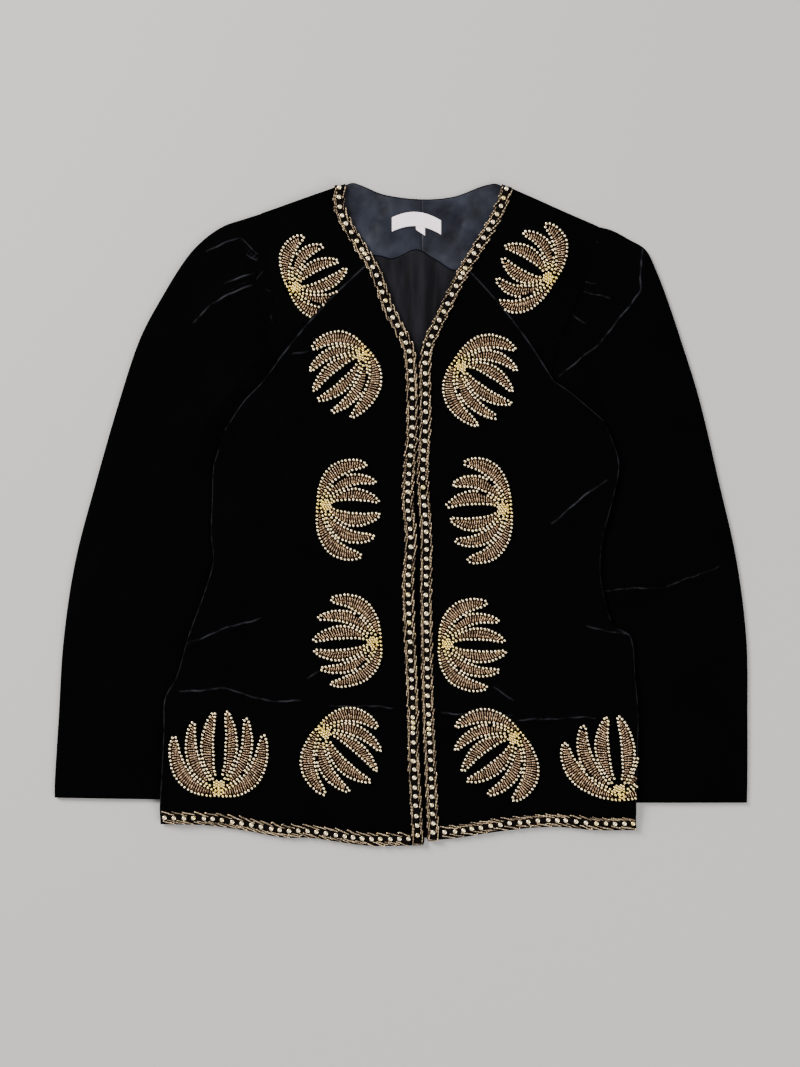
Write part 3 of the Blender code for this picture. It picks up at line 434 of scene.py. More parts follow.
def nearest_on(line, x, y):
    """How far each place is from a line of points, how many steps along that is, and on which side."""
    nearest = np.full(x.shape, FAR)
    steps = np.zeros(x.shape)
    left = np.ones(x.shape)
    for index, (start, end) in enumerate(zip(line, line[1:])):
        run = end - start
        share = np.clip(((x - start[0]) * run[0] + (y - start[1]) * run[1]) / (run @ run), 0, 1)
        away = np.hypot(x - start[0] - run[0] * share, y - start[1] - run[1] * share)
        turned = np.where(run[0] * (y - start[1]) < run[1] * (x - start[0]), -1.0, 1.0)
        steps = np.where(away < nearest, index + share, steps)
        left = np.where(away < nearest, turned, left)
        nearest = np.minimum(nearest, away)
    return nearest, steps, left


def crest_line(side):
    """The whole crest, from the trim to the outer end over the sleeve head."""
    inner = crest_inner(side, np.linspace(1, 0, CREST_STEPS + 1))
    return np.vstack([inner, crest_outer(side, np.linspace(1, 0, OUTER_STEPS + 1))[1:]])


def crest_rise(side, x, y):
    """The ridge along the crest: highest at the sleeve head, and nothing at the trim."""
    nearest, steps, _ = nearest_on(crest_line(side), x, y)
    height = np.minimum(steps / CREST_STEPS, 1.0)
    return CREST_RISE * height**0.8 * np.exp(-nearest / CREST_WIDTH)


# %% Find where the painted highlight lines go
SHARP_WIDTH = 9.0
HIGHLIGHT_BY_RISE = 0.2
HIGHLIGHT_REACH = (2.2, 3.4)


def crushed(creases, lines, x, y):
    """How far the nearest sharp line is, with a sign for its side, and how strong the highlight painted on
    that line is.
    """
    wavy_x = x + 0.7 * np.sin(y / 9.0) + 0.3 * np.sin(y / 3.1 + 1.0)
    wavy_y = y + 0.7 * np.sin(x / 8.0 + 1.0) + 0.3 * np.sin(x / 2.7)
    found = []
    for crease in creases:
        if crease.width <= SHARP_WIDTH:
            ends = np.array([[crease.x0, crease.y0], [crease.x1, crease.y1]])
            away, share, left = nearest_on(ends, wavy_x, wavy_y)
            fade = arch(np.clip(share, 0.0, 1.0)) ** 0.5
            found.append((away, left, HIGHLIGHT_BY_RISE * crease.rise * fade))
    for line, strength in lines:
        away, _, left = nearest_on(line, x, y)
        found.append((away, left, strength))
    nearest = np.full(x.shape, FAR)
    signed = np.full(x.shape, FAR)
    amount = np.zeros(x.shape)
    for away, left, strength in found:
        signed = np.where(away < nearest, left * away, signed)
        amount = np.where(away < nearest, strength, amount)
        nearest = np.minimum(nearest, away)
    return signed, amount * (1.0 - smooth(*HIGHLIGHT_REACH, nearest))


# %% Add it all up for a front
def front_top(side, spots, below_fold):
    """The top of a front over places in plan, as points."""
    x = spots[..., 0]
    y = spots[..., 1]
    top = FRONT_LOW + FRONT_WALL + neck_lift(x, y) + ridges(side.creases, x, y)
    top = top + soft_waves(x, y, 0.3)
    if below_fold:
        top = top + front_lift(side, x, y) + crest_rise(side, x, y)
    return np.concatenate([spots, top[..., None]], -1)


# %% [markdown]
# ## Materials
# Each finish starts from what the real one is. Colours are written as sRGB hex and turned linear, and
# a pattern's scale is one over its real size in metres. Where threads or pile are too fine for the
# picture, they are drawn coarser, and the comment says so.

# %% Make the helpers for materials
def colour(hex_value):
    """A linear colour from an sRGB hex value."""
    channels = [int(hex_value[k : k + 2], 16) / 255 for k in (1, 3, 5)]
    return (*[c / 12.92 if c <= 0.04045 else ((c + 0.055) / 1.055) ** 2.4 for c in channels], 1.0)


def node(tree, kind, sockets=None, **settings):
    """Adds one node, with its settings and with values or links on its sockets."""
    made = tree.nodes.new(kind)
    for name, value in settings.items():
        setattr(made, name, value)
    for name, value in (sockets or {}).items():
        if isinstance(value, bpy.types.NodeSocket):
            tree.links.new(value, made.inputs[name])
        else:
            made.inputs[name].default_value = value
    return made


def finish_of(name, **values):
    """A new material and its tree, with plain values on the shader's sockets."""
    made = bpy.data.materials.new(name)
    made.use_nodes = True
    shader = made.node_tree.nodes["Principled BSDF"]
    for socket, value in values.items():
        shader.inputs[socket.replace("_", " ")].default_value = value
    return made, made.node_tree


def link_to_shader(tree, tint, normal=None):
    inputs = tree.nodes["Principled BSDF"].inputs
    tree.links.new(tint, inputs["Base Color"])
    if normal:
        tree.links.new(normal, inputs["Normal"])


def place_on_object(tree):
    return node(tree, "ShaderNodeTexCoord").outputs["Object"]


def attribute(tree, name):
    return node(tree, "ShaderNodeAttribute", attribute_name=name).outputs["Fac"]


def noise(tree, place, size_mm, detail):
    """Cloudy noise, whose lumps have a real size in millimetres."""
    sockets = {"Vector": place, "Scale": 1.0 / (size_mm * MM), "Detail": detail}
    return node(tree, "ShaderNodeTexNoise", sockets).outputs["Fac"]


def drawn_noise(tree, place, sizes_mm, detail):
    """Noise whose lumps have another size along each axis."""
    scale = [1.0 / (size * MM) for size in sizes_mm]
    drawn = node(tree, "ShaderNodeMapping", {"Vector": place, "Scale": scale}).outputs[0]
    return node(tree, "ShaderNodeTexNoise", {"Vector": drawn, "Scale": 1.0, "Detail": detail}).outputs["Fac"]


def spread(tree, value, start, end, low=0.0, high=1.0, **settings):
    """Low at start, high at end, and even between them."""
    sockets = {"Value": value, "From Min": start, "From Max": end, "To Min": low, "To Max": high}
    return node(tree, "ShaderNodeMapRange", sockets, **settings).outputs["Result"]


def blend(tree, share, first, last):
    """A colour between two. Each of them is a hex value or a link."""
    first, last = (colour(end) if isinstance(end, str) else end for end in (first, last))
    return node(tree, "ShaderNodeMix", {0: share, 6: first, 7: last}, data_type="RGBA").outputs[2]


def math_of(tree, operation, *values):
    return node(tree, "ShaderNodeMath", dict(enumerate(values)), operation=operation).outputs[0]


def bumps(tree, height, strength, depth_mm, **more):
    """Small bumps from a pattern. Normal is given where they lie over other bumps."""
    sockets = {"Height": height, "Strength": strength, "Distance": depth_mm * MM, **more}
    return node(tree, "ShaderNodeBump", sockets).outputs["Normal"]

# %% Black velvet
# Silk-like cut pile on a woven ground. Its upright hairs swallow light from above, so it looks a
# deep black, with a faint sheen where it turns away. Along sharp creases, the fold's crest and the
# front's side border, a thin grey highlight is painted into its colour. One attribute says how strong
# that painted highlight is, and from_line how far away its line is. A distance is even across a cell,
# so the line can be finer than the mesh.
# The hairs are 0.1 mm apart, and are drawn 1.2 mm apart so that they show.
HIGHLIGHT_LINE = 1.3
velvet, tree = finish_of(
    "black_cut_pile_velvet", Roughness=0.9, Sheen_Weight=0.02, Sheen_Roughness=0.3,
    Sheen_Tint=colour("#b9bcc6"), Specular_IOR_Level=0.012,
)
place = place_on_object(tree)
tint = blend(tree, noise(tree, place, 70.0, 3.0), "#010101", "#040405")
# The grey below is a painted highlight: a thin line along each sharp line, broken up by noise.
away = math_of(tree, "ABSOLUTE", attribute(tree, "from_line"))
thin = spread(tree, away, 0.0, HIGHLIGHT_LINE, 1.0, 0.0, interpolation_type="SMOOTHSTEP")
breaks = spread(tree, noise(tree, place, 11.0, 4.0), 0.38, 0.62, 0.12, 1.0)
broken = math_of(tree, "MULTIPLY", attribute(tree, "crushed"), breaks)
tint_with_highlights = blend(tree, math_of(tree, "MULTIPLY", broken, thin), tint, "#4a4a50")
link_to_shader(tree, tint_with_highlights, bumps(tree, noise(tree, place, 1.2, 2.0), 0.25, 0.3))

# %% Blue-grey satin
# A warp-faced weave, so it gleams softly across its threads. Threads 0.2 mm apart are drawn 0.8 mm
# apart, and slow ripples of 14 mm stand for the slack of a hand-sewn facing.
satin, tree = finish_of("blue_grey_satin", Roughness=0.42, Anisotropic=0.5, Specular_IOR_Level=0.14)
place = place_on_object(tree)
# Lighter and darker patches about 28 mm across are the painted light and shade of soft folds.
tint = blend(tree, spread(tree, noise(tree, place, 28.0, 3.0), 0.35, 0.65), "#111217", "#272932")
threads = bumps(tree, drawn_noise(tree, place, (0.8, 12.0, 1000.0), 2.0), 0.25, 0.3)
ripples = bumps(tree, noise(tree, place, 14.0, 1.0), 0.6, 3.0, Normal=threads)
link_to_shader(tree, tint, ripples)

# %% Dark lining
# Acetate lining in a plain weave: thinner and flatter than the satin, nearly black with a grey cast.
# Its long soft folds run down, and their light and shade are painted into its colour as streaks drawn out
# along Y. The weave is drawn 0.9 mm wide.
lining, tree = finish_of("charcoal_acetate_lining", Roughness=0.45, Specular_IOR_Level=0.09)
place = place_on_object(tree)
# painted light and shade of the folds: lighter and darker streaks, long along Y
folds = spread(tree, drawn_noise(tree, place, (12.0, 60.0, 1000.0), 3.0), 0.35, 0.65)
weave = node(tree, "ShaderNodeTexChecker", {"Vector": place, "Scale": 1 / 0.0009}).outputs["Fac"]
link_to_shader(tree, blend(tree, folds, "#070608", "#16151a"), bumps(tree, weave, 0.15, 0.2))

# %% Pale woven label
# Damask ribbon with a rib of 0.3 mm, drawn 0.7 mm wide. It is left bare.
ribbon, tree = finish_of(
    "pale_pink_woven_ribbon", Roughness=0.55, Sheen_Weight=0.2, Specular_IOR_Level=0.4
)
place = place_on_object(tree)
rib = node(
    tree, "ShaderNodeTexWave", {"Vector": place, "Scale": 0.15 / 0.0007, "Distortion": 0.6},
    bands_direction="Y",
).outputs["Fac"]
tint = blend(tree, noise(tree, place, 6.0, 2.0), "#f0dfe6", "#fff1f6")
link_to_shader(tree, tint, bumps(tree, rib, 0.35, 0.2))

# %% Gold-lined glass beads
# Clear glass over a gold lining, so they look like small mirrors under a clear coat. The attribute
# called tone goes from 0, the yellow of the knots, to 1, the pale champagne of the borders.
seed_glass, tree = finish_of(
    "gold_lined_seed_beads", Metallic=0.9, Roughness=0.24, Coat_Weight=0.8, Coat_Roughness=0.08
)
link_to_shader(tree, blend(tree, attribute(tree, "tone"), "#f5d86c", "#ffecc8"))

# %% Bronze and champagne bugle beads
# Short cut tubes of glass with a metal lining. Their cut ends and long sides give a thin bright line
# each, and no two have the same lining, so tone also tells these apart. The fans have bronze ones.
# The trim's are greyer and paler, and four of them on a stitch make one strand of a twisted rope.
bugles = {}
for name, dark, pale in (
    ("bronze_bugle_beads", "#47311f", "#caa783"),
    ("champagne_bugle_beads", "#45372b", "#bda583"),
):
    bugles[name], tree = finish_of(
        name, Metallic=0.85, Roughness=0.3, Coat_Weight=0.4, Coat_Roughness=0.12
    )
    link_to_shader(tree, blend(tree, attribute(tree, "tone"), dark, pale))
bugle_glass = bugles["bronze_bugle_beads"]
rope_glass = bugles["champagne_bugle_beads"]

# %% Black braid under the trim
# A narrow braid of cotton that the beads are sewn to. It is dull and a little browner than the velvet.
braid, tree = finish_of("black_cotton_braid", Roughness=0.9, Specular_IOR_Level=0.06)
strands = noise(tree, place_on_object(tree), 1.5, 3.0)
link_to_shader(tree, blend(tree, strands, "#010101", "#0b0605"), bumps(tree, strands, 0.6, 0.5))
print("materials made:", len(bpy.data.materials))

# %% [markdown]
# ## From a sheet of points to a piece of cloth
# Each panel is a fine grid of points, laid out by its pattern. Its wall goes straight down, which
# never crosses itself on a flat garment, and the outermost points are drawn in to round the edge.

# %% Make the helpers for cloth
def rows_to_faces(rows, columns, start=0):
    """Four-sided faces of a grid whose points are listed row by row."""
    corner = start + np.arange(rows - 1)[:, None] * columns + np.arange(columns - 1)[None, :]
    corner = corner.ravel()
    return np.stack([corner, corner + columns, corner + columns + 1, corner + 1], 1)


def mesh_object(name, points, faces, materials):
    """A new object at the origin, from points in millimetres."""
    data = bpy.data.meshes.new(name)
    data.from_pydata((np.asarray(points) * MM).tolist(), [], faces)
    made = bpy.data.objects.new(name, data)
    bpy.context.scene.collection.objects.link(made)
    for material in materials:
        data.materials.append(material)
    return made


def tidy(made):
    """Merges doubled points, turns the faces out and shades them smooth, as by hand."""
    bpy.ops.object.select_all(action="DESELECT")
    bpy.context.view_layer.objects.active = made
    made.select_set(True)
    bpy.ops.object.mode_set(mode="EDIT")
    bpy.ops.mesh.select_all(action="SELECT")
    bpy.ops.mesh.remove_doubles(threshold=0.00002)
    bpy.ops.mesh.normals_make_consistent(inside=False)
    bpy.ops.object.mode_set(mode="OBJECT")
    bpy.ops.object.shade_smooth()
    return made


def paint_highlight_lines(made, creases, lines):
    """Writes at each point of a piece of velvet how far a sharp line is, and how strong the highlight
    painted there is.
    """
    spots = np.empty(len(made.data.vertices) * 3)
    made.data.vertices.foreach_get("co", spots)
    spots = spots.reshape(-1, 3) / MM
    from_line, amount = crushed(creases, lines, spots[:, 0], spots[:, 1])
    for name, values in (("from_line", from_line), ("crushed", amount)):
        made.data.attributes.new(name, "FLOAT", "POINT").data.foreach_set("value", values)


def cloth(name, grids, wall, material, rounding=0.6):
    """A closed piece of cloth from grids of top points, joined where their points meet."""
    points = np.vstack([grid.reshape(-1, 3) for grid in grids])
    faces = []
    start = 0
    for grid in grids:
        faces.append(rows_to_faces(grid.shape[0], grid.shape[1], start))
        start += grid.shape[0] * grid.shape[1]
    faces = np.vstack(faces)
    _, first, same = np.unique(np.round(points, 2), axis=0, return_index=True, return_inverse=True)
    points = points[first]
    faces = same.reshape(-1)[faces]
    sides = np.stack([faces, np.roll(faces, -1, 1)], 2).reshape(-1, 2)
    key = np.sort(sides, 1)
    _, which, uses = np.unique(key, axis=0, return_inverse=True, return_counts=True)
    rim = sides[uses[which.reshape(-1)] == 1]
    at_rim = np.zeros(len(points), bool)
    at_rim[rim.ravel()] = True
    top = points.copy()
    top[at_rim, 2] -= rounding
    bottom = points.copy()
    bottom[:, 2] -= wall
    bottom[at_rim, 2] += rounding * 0.6
    count = len(points)
    walls = np.stack([rim[:, 1], rim[:, 0], rim[:, 0] + count, rim[:, 1] + count], 1)
    every = np.vstack([faces, faces[:, ::-1] + count, walls])
    made = mesh_object(name, np.vstack([top, bottom]), every.tolist(), [material])
    return tidy(made)


def eased(cells, width, first=0.8):
    """Shares across a width: even cells, with a narrow one at each end for the rounded edge."""
    inner = np.linspace(first / width, 1.0 - first / width, cells - 1)
    return np.concatenate([[0.0], inner, [1.0]])


def reader(grid):
    """A function that gives the height of a grid of top points under a place."""
    flat = grid.reshape(-1, 3)
    tree = BVHTree.FromPolygons(flat.tolist(), rows_to_faces(*grid.shape[:2]).tolist())

    def read(x, y):
        hit = tree.ray_cast(Vector((x, y, FAR)), Vector((0.0, 0.0, -1.0)))
        return None if hit[0] is None else hit[0].z

    return read


def half_area(made):
    """The cloth's own area: half of what a closed piece has all round, in square metres."""
    return sum(face.area for face in made.data.polygons) / 2


def keep(made, node_name):
    """Puts a finished piece in the place of its CAD node."""
    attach(made, "root")
    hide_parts(node_name)
    triangles = sum(len(face.vertices) - 2 for face in made.data.polygons)
    print(made.name, triangles, "triangles, half area", round(half_area(made), 4), "square metres")


# %% [markdown]
# ## The fronts
# Each front is cut in one, and lies folded over on itself. So it is two grids: one above the fold, from
# the shoulder down, and one below it, whose first row is the crest. They share the crest's points
# from the armhole to the trim, where a rounded lip joins them.

# %% Lay out the fronts
CELL = 2.0
ABOVE_ROWS = 62
OUTER_CELLS = 30
INNER_CELLS = 76
SPREAD_ROWS = 54
CREST_LONG = 140.0
SHOULDER_LONG = 100.0
FRONT_WIDE = 220.0
LIP = (0.05, 0.18, 0.38, 0.62, 0.84)


def shoulder_grid(side):
    """Places in plan above the fold, row by row from the shoulder to the fold's foot."""
    top_y = side.trim[0, 1]
    fold_y = side.sections[0, 2]
    share = eased(INNER_CELLS, CREST_LONG)
    crest = crest_inner(side, share)
    straight = mix(crest_inner(side, [0.0]), crest_inner(side, [1.0]), share[:, None])
    rows = []
    for part in eased(ABOVE_ROWS, SHOULDER_LONG)[:-1]:
        border = armhole_point(side, side.corner * part) + [0.0, FOLD_STEP * part]
        edge = trim_edge(side, mix(top_y, fold_y + FOLD_STEP, part))
        rows.append(border + (edge - border) * share[:, None] + (crest - straight) * part**2)
    rows.append(crest + [0.0, FOLD_STEP])
    return np.array(rows)


HEM_WAVES = {
    "right": (
        (0.0, 1.5), (0.18, 5.5), (0.33, 4.0), (0.47, 0.5), (0.57, 2.2), (0.74, -1.6), (0.81, -2.4),
        (0.9, -1.2), (1.0, 0.5),
    ),
    "left": ((0.0, 0.5), (0.2, -1.0), (0.4, 2.0), (0.7, 0.5), (0.85, -0.5), (1.0, 1.0)),
}


def hem_wave(side, share):
    """How far the hem swings up, by the share of its way from the side to the front edge."""
    waves = np.array(HEM_WAVES[side.name])
    return curve(waves[:, 0], waves[:, 1], share)


def section_row(side, values, share, hem_part=0.0):
    """A row right across a front below its fold, from a section's four values."""
    border = values[:2]
    edge = trim_edge(side, values[2])
    row = border + (edge - border) * share[:, None]
    row[:, 1] += values[3] * arch(share) + hem_part * hem_wave(side, share)
    return row


def body_grid(side):
    """Places in plan below the fold, row by row from the crest to the hem."""
    outer = crest_outer(side, np.linspace(0.0, 1.0, OUTER_CELLS + 1)[:-1])
    crest = np.vstack([outer, crest_inner(side, eased(INNER_CELLS, CREST_LONG))])
    share = eased(OUTER_CELLS + INNER_CELLS, FRONT_WIDE)
    underarm = section_row(side, side.sections[4], share)
    rows = [mix(crest, underarm, k / SPREAD_ROWS) for k in range(SPREAD_ROWS)]
    spots = []
    for k in range(4, len(side.sections) - 1):
        before = side.sections[k]
        after = side.sections[k + 1]
        long = max(np.hypot(*(after[:2] - before[:2])), abs(after[2] - before[2]))
        parts = math.ceil(long / CELL)
        spots += [k + part / parts for part in range(parts)]
    last = len(side.sections) - 1
    spots = np.array(spots + [last - 0.04, last])
    hem_parts = smooth(last - 1.8, last, spots)
    for values, hem_part in zip(curve(np.arange(last + 1), side.sections, spots), hem_parts):
        rows.append(section_row(side, values, share, hem_part))
    return np.array(rows)


tops = {}
for side in (RIGHT, LEFT):
    above = front_top(side, shoulder_grid(side), False)
    below = front_top(side, body_grid(side), True)
    crest = below[0, OUTER_CELLS:]
    foot = above[-1]
    lip = []
    for share in LIP:
        row = mix(foot, crest, share)
        row[:, 2] = mix(foot[:, 2], crest[:, 2], math.sqrt(1.0 - (1.0 - share) ** 2))
        lip.append(row)
    above = np.concatenate([above, lip, crest[None]])
    made = cloth(f"front_{side.name}_velvet", [above, below], FRONT_WALL, velvet)
    border = below[OUTER_CELLS:-1, 0, :2]
    # painted highlights on the sharper creases, along the fold's crest and along the side border
    paint_highlight_lines(made, side.creases, [(crest_line(side), 0.25), (border[::8], 0.25)])
    keep(made, f"front_{side.name}")
    tops[side.name] = (reader(above), reader(below))

# %% [markdown]
# ## The back
# Little of the back shows, but its sides lift over the sleeves, and its neck is the upper border of
# the whole opening. It is one grid, from the shoulder seams to the hem.

# %% Lay out the back
NECK = np.array([
    (-48.0, 331.1), (-38.0, 327.5), (-17.0, 319.0), (20.0, 314.3), (53.0, 317.0), (80.0, 327.0),
    (94.0, 330.5),
])
CENTRE_BACK = 20.4
SEAM_ROWS = 12
BACK_ROWS = 130
BACK_COLUMNS = 96
BACK_WIDE = 430.0
BACK_INSET = 0.6
HEM_INSET = 1.5
SEAM_END = 0.965


def neck_outline(x):
    """The back's top border: the shoulder seams and the hollow of the neck."""
    right = side_tip(RIGHT)
    left = side_tip(LEFT)
    hollow = curve(NECK[:, 0], NECK[:, 1], x)
    over_right = mix(right[1], NECK[0, 1], (x - right[0]) / (NECK[0, 0] - right[0]))
    over_left = mix(left[1], NECK[-1, 1], (left[0] - x) / (left[0] - NECK[-1, 0]))
    return np.where(x < NECK[0, 0], over_right, np.where(x > NECK[-1, 0], over_left, hollow))


def side_tip(side):
    return side.sleeve[0, :2]


def hem_y(x):
    """The lower border of the body, a little above that of the fronts."""
    result = np.zeros_like(x)
    for side, chosen in ((RIGHT, x < CENTRE_BACK), (LEFT, x >= CENTRE_BACK)):
        side_x, side_y, edge_y, bow = side.sections[-1]
        edge = trim_edge(side, edge_y)
        share = np.clip((x - side_x) / (edge[0] - side_x), 0.0, 1.0)
        height = mix(side_y, edge[1], share) + bow * arch(share) + hem_wave(side, share)
        result = np.where(chosen, height + HEM_INSET, result)
    return result


# each border follows the armhole seam, and then the sections that lie level on both sides
borders = []
for side, level in ((RIGHT, [10, 11]), (LEFT, [11, 12])):
    share = np.linspace(0.0, 1.0, SEAM_ROWS + 1)
    seam = armhole_point(side, SEAM_END * share)
    seam[:, 0] -= side.sign * (0.2 + 2.2 * smooth(0.45, 0.7, share))
    chosen = [5, 6, 7, 8, 9, *level, 13, 14, 15]
    rest = side.sections[chosen][:, :2] - [side.sign * BACK_INSET, 0.0]
    rest[-1, 1] += 1.2
    borders.append(np.vstack([seam, rest]))
last = len(borders[0]) - 1.0
spots = np.concatenate([[0.0, 0.06], np.linspace(0.12, last - 0.08, BACK_ROWS), [last]])
right, left = (curve(np.arange(len(border)), border, spots)[:, None] for border in borders)
share = eased(BACK_COLUMNS, BACK_WIDE)
plan = mix(right, left, share[None, :, None])
x = plan[..., 0]
y = plan[..., 1]
top_part = (1.0 - smooth(0.0, 5.0, spots))[:, None]
hem_part = smooth(last - 3.0, last, spots)[:, None]
straight_hem = mix(RIGHT.sections[-1, 1], LEFT.sections[-1, 1], share)
y = y + top_part * (neck_outline(x) - y)
y = y + hem_part * (hem_y(x) - straight_hem)
lift = np.maximum(back_lift(RIGHT, x, y), back_lift(LEFT, x, y))
grid = np.stack([x, y, BACK_WALL + lift], -1)
made = cloth("back_panel_velvet", [grid], BACK_WALL, velvet)
keep(made, "back_panel")

# %% [markdown]
# ## The satin facing, the lining and the label
# Inside the neck a facing of satin in two halves meets at centre back. The lining hangs from its
# arched lower seam with a soft pleat, so that it never pulls. A woven label and its size tab lie on it.

# %% Lay out the facing
FACING_HEM = np.array([
    (-62, 258), (-22, 258), (-8, 255), (15, 264), (33, 255), (54, 243),
    (104, 240),
])
NECK_RIGHT = -65.0
NECK_LEFT = 103.0
SATIN_TOP = FRONT_LOW + SATIN_WALL
THIN_EDGE = 0.6
THIN_ROUNDING = 0.25
FACING_LONG = 50.0
SATIN_CREASES = [Crease(*row) for row in (
    (-30, 300, -4, 290, 0.55, 5), (-44, 316, -20, 296, 0.5, 6),
    (-14, 276, 6, 270, 0.5, 4), (44, 300, 70, 312, 0.5, 6),
    (38, 262, 62, 250, 0.45, 5), (30, 312, 42, 296, 0.4, 4),
)]


def satin_grid(first_x, last_x, top_of, foot_of, across, down, height_of):
    """Top points of a sheet between an upper and a lower border."""
    u = eased(across, last_x - first_x, THIN_EDGE)
    x = np.repeat(mix(first_x, last_x, u)[None, :], down + 1, 0)
    v = eased(down, FACING_LONG, THIN_EDGE)[:, None]
    y = mix(top_of(x[:1]), foot_of(x[:1]), v)
    return np.stack([x, y, height_of(x, y)], -1)


def facing_top(x):
    return neck_outline(x) - 1.2


def facing_foot(x):
    return curve(FACING_HEM[:, 0], FACING_HEM[:, 1], x)


def facing_height(x, y):
    near_seam = bell(x - CENTRE_BACK, 2.2) + bell(y - facing_foot(x), 1.8)
    return SATIN_TOP + ridges(SATIN_CREASES, x, y) + soft_waves(x * 2, y * 2, 0.1) - 0.25 * near_seam


for name, first_x, last_x in (
    ("right", NECK_RIGHT, CENTRE_BACK - SEAM_GAP / 2),
    ("left", CENTRE_BACK + SEAM_GAP / 2, NECK_LEFT),
):
    grid = satin_grid(first_x, last_x, facing_top, facing_foot, 60, 50, facing_height)
    made = cloth(f"facing_{name}_satin", [grid], SATIN_WALL, satin, THIN_ROUNDING)
    keep(made, f"back_neck_facing_{name}")

# %% Lay out the lining
LINING_FOOT = 142.0
LINING_FOOT_X = (-8.0, 52.0)
PLEAT_X = 26.0
LINING_CREASES = [Crease(*row) for row in (
    (11, 258, 14, 200, 1, 2.6), (39, 250, 33, 192, 1, 2.6),
    (-8, 250, 6, 190, 0.6, 5), (54, 236, 40, 180, 0.6, 5),
    (24, 240, 23, 176, 0.5, 4),
)]
v = eased(60, 110.0, THIN_EDGE)[:, None]
u = eased(80, 120.0, THIN_EDGE)[None, :]
x = mix(mix(NECK_RIGHT, LINING_FOOT_X[0], v), mix(NECK_LEFT, LINING_FOOT_X[1], v), u)
y = mix(facing_foot(x) - 0.8, LINING_FOOT, v)
pleat = 0.9 * bell(x - PLEAT_X, 9.0) * (1.0 - smooth(0.2, 0.75, v))
z = SATIN_TOP - 0.1 + pleat + ridges(LINING_CREASES, x, y) * 0.8
made = cloth("back_lining_acetate", [np.stack([x, y, z], -1)], SATIN_WALL, lining, THIN_ROUNDING)
keep(made, "back_lining")

# %% Lay out the label and its tab
LABEL_RIGHT = -9.0
LABEL_LEFT = 40.0
LABEL_LONG = 14.0
LABEL_WALL = 0.8
TAB_RIGHT = 15.0
TAB_LEFT = 24.0
TAB_WALL = 0.5


def label_top(x):
    share = (x - LABEL_RIGHT) / (LABEL_LEFT - LABEL_RIGHT)
    return 291.0 + 11.5 * arch(0.12 + 0.76 * share) ** 0.9 - 3.0 * share


def label_foot(x):
    return label_top(x) - LABEL_LONG


def label_height(x, y):
    share = np.clip((x - LABEL_RIGHT) / (LABEL_LEFT - LABEL_RIGHT), 0, 1)
    middle = 0.5 * arch(share) ** 2
    return SATIN_TOP + SEAM_GAP + LABEL_WALL + middle + 0.12 * np.sin(x / 3.0)


def tab_foot(x):
    return mix(283.5, 277.5, (x - TAB_RIGHT) / (TAB_LEFT - TAB_RIGHT))


grid = satin_grid(LABEL_RIGHT, LABEL_LEFT, label_top, label_foot, 60, 18, label_height)
made = cloth("label_ribbon", [grid], LABEL_WALL, ribbon, 0.2)
keep(made, "label")
grid = satin_grid(TAB_RIGHT, TAB_LEFT, lambda x: label_foot(x) + 0.6, tab_foot, 14, 12, label_height)
grid[..., 2] -= TAB_WALL
made = cloth("size_tab_ribbon", [grid], TAB_WALL, ribbon, 0.15)
keep(made, "size_tab")

# %% [markdown]
# ## The sleeves
# A sleeve is a tube of velvet, laid flat. A torus has just such a form: once round it is once round
# the sleeve, and the other way is out over the outside and back through the inside. So each sleeve
# starts as a torus, whose rings are moved to their places. Its head is gathered into the armhole.

# %% Shape the sleeves
# A torus has at most 256 rings, outside and inside together. They crowd a little at the armhole.
OUTSIDE_RINGS = 196
INSIDE_RINGS = 60
CROWDING = 1.15
TOP_CELLS = 96
FLOOR_CELLS = 20
EDGE_STEPS = 6
EDGE_WIDE = 4.5
PUFF_RISE = 4.2
PUFF_WALL = 1.5
GATHERS = 9
GATHER_RISE = 2.6
SEAM_TO_CUFF = 330.0


def draw(low, high):
    """A random number for each gather of each sleeve."""
    return {name: [random.uniform(low, high) for _ in range(GATHERS)] for name in ("right", "left")}


random.seed(11)
gather_strength = draw(0.2, 0.8)
gather_reach = draw(20.0, 80.0)
gather_shift = draw(-0.35, 0.35)


def gathers(side, from_edge, width, from_seam):
    """Tucks that run down the sleeve head from the armhole seam."""
    pitch = (0.42 * width - 2.5) / GATHERS
    rise = np.zeros_like(from_edge)
    for k in range(GATHERS):
        middle = 2.5 + pitch * (k + 0.5 + gather_shift[side.name][k])
        middle = middle + 3.5 * np.sin(from_seam / 23.0 + 1.7 * k)
        away = np.abs(from_edge - middle) / pitch
        window = arch((k + 0.5) / GATHERS) ** 0.5
        fade = np.exp(-from_seam / gather_reach[side.name][k]) * (0.35 + 0.65 * smooth(0.0, 14.0, from_seam))
        tuck = bell(away, 0.30) * window * gather_strength[side.name][k]
        rise = np.maximum(rise, GATHER_RISE * tuck * fade)
    return rise


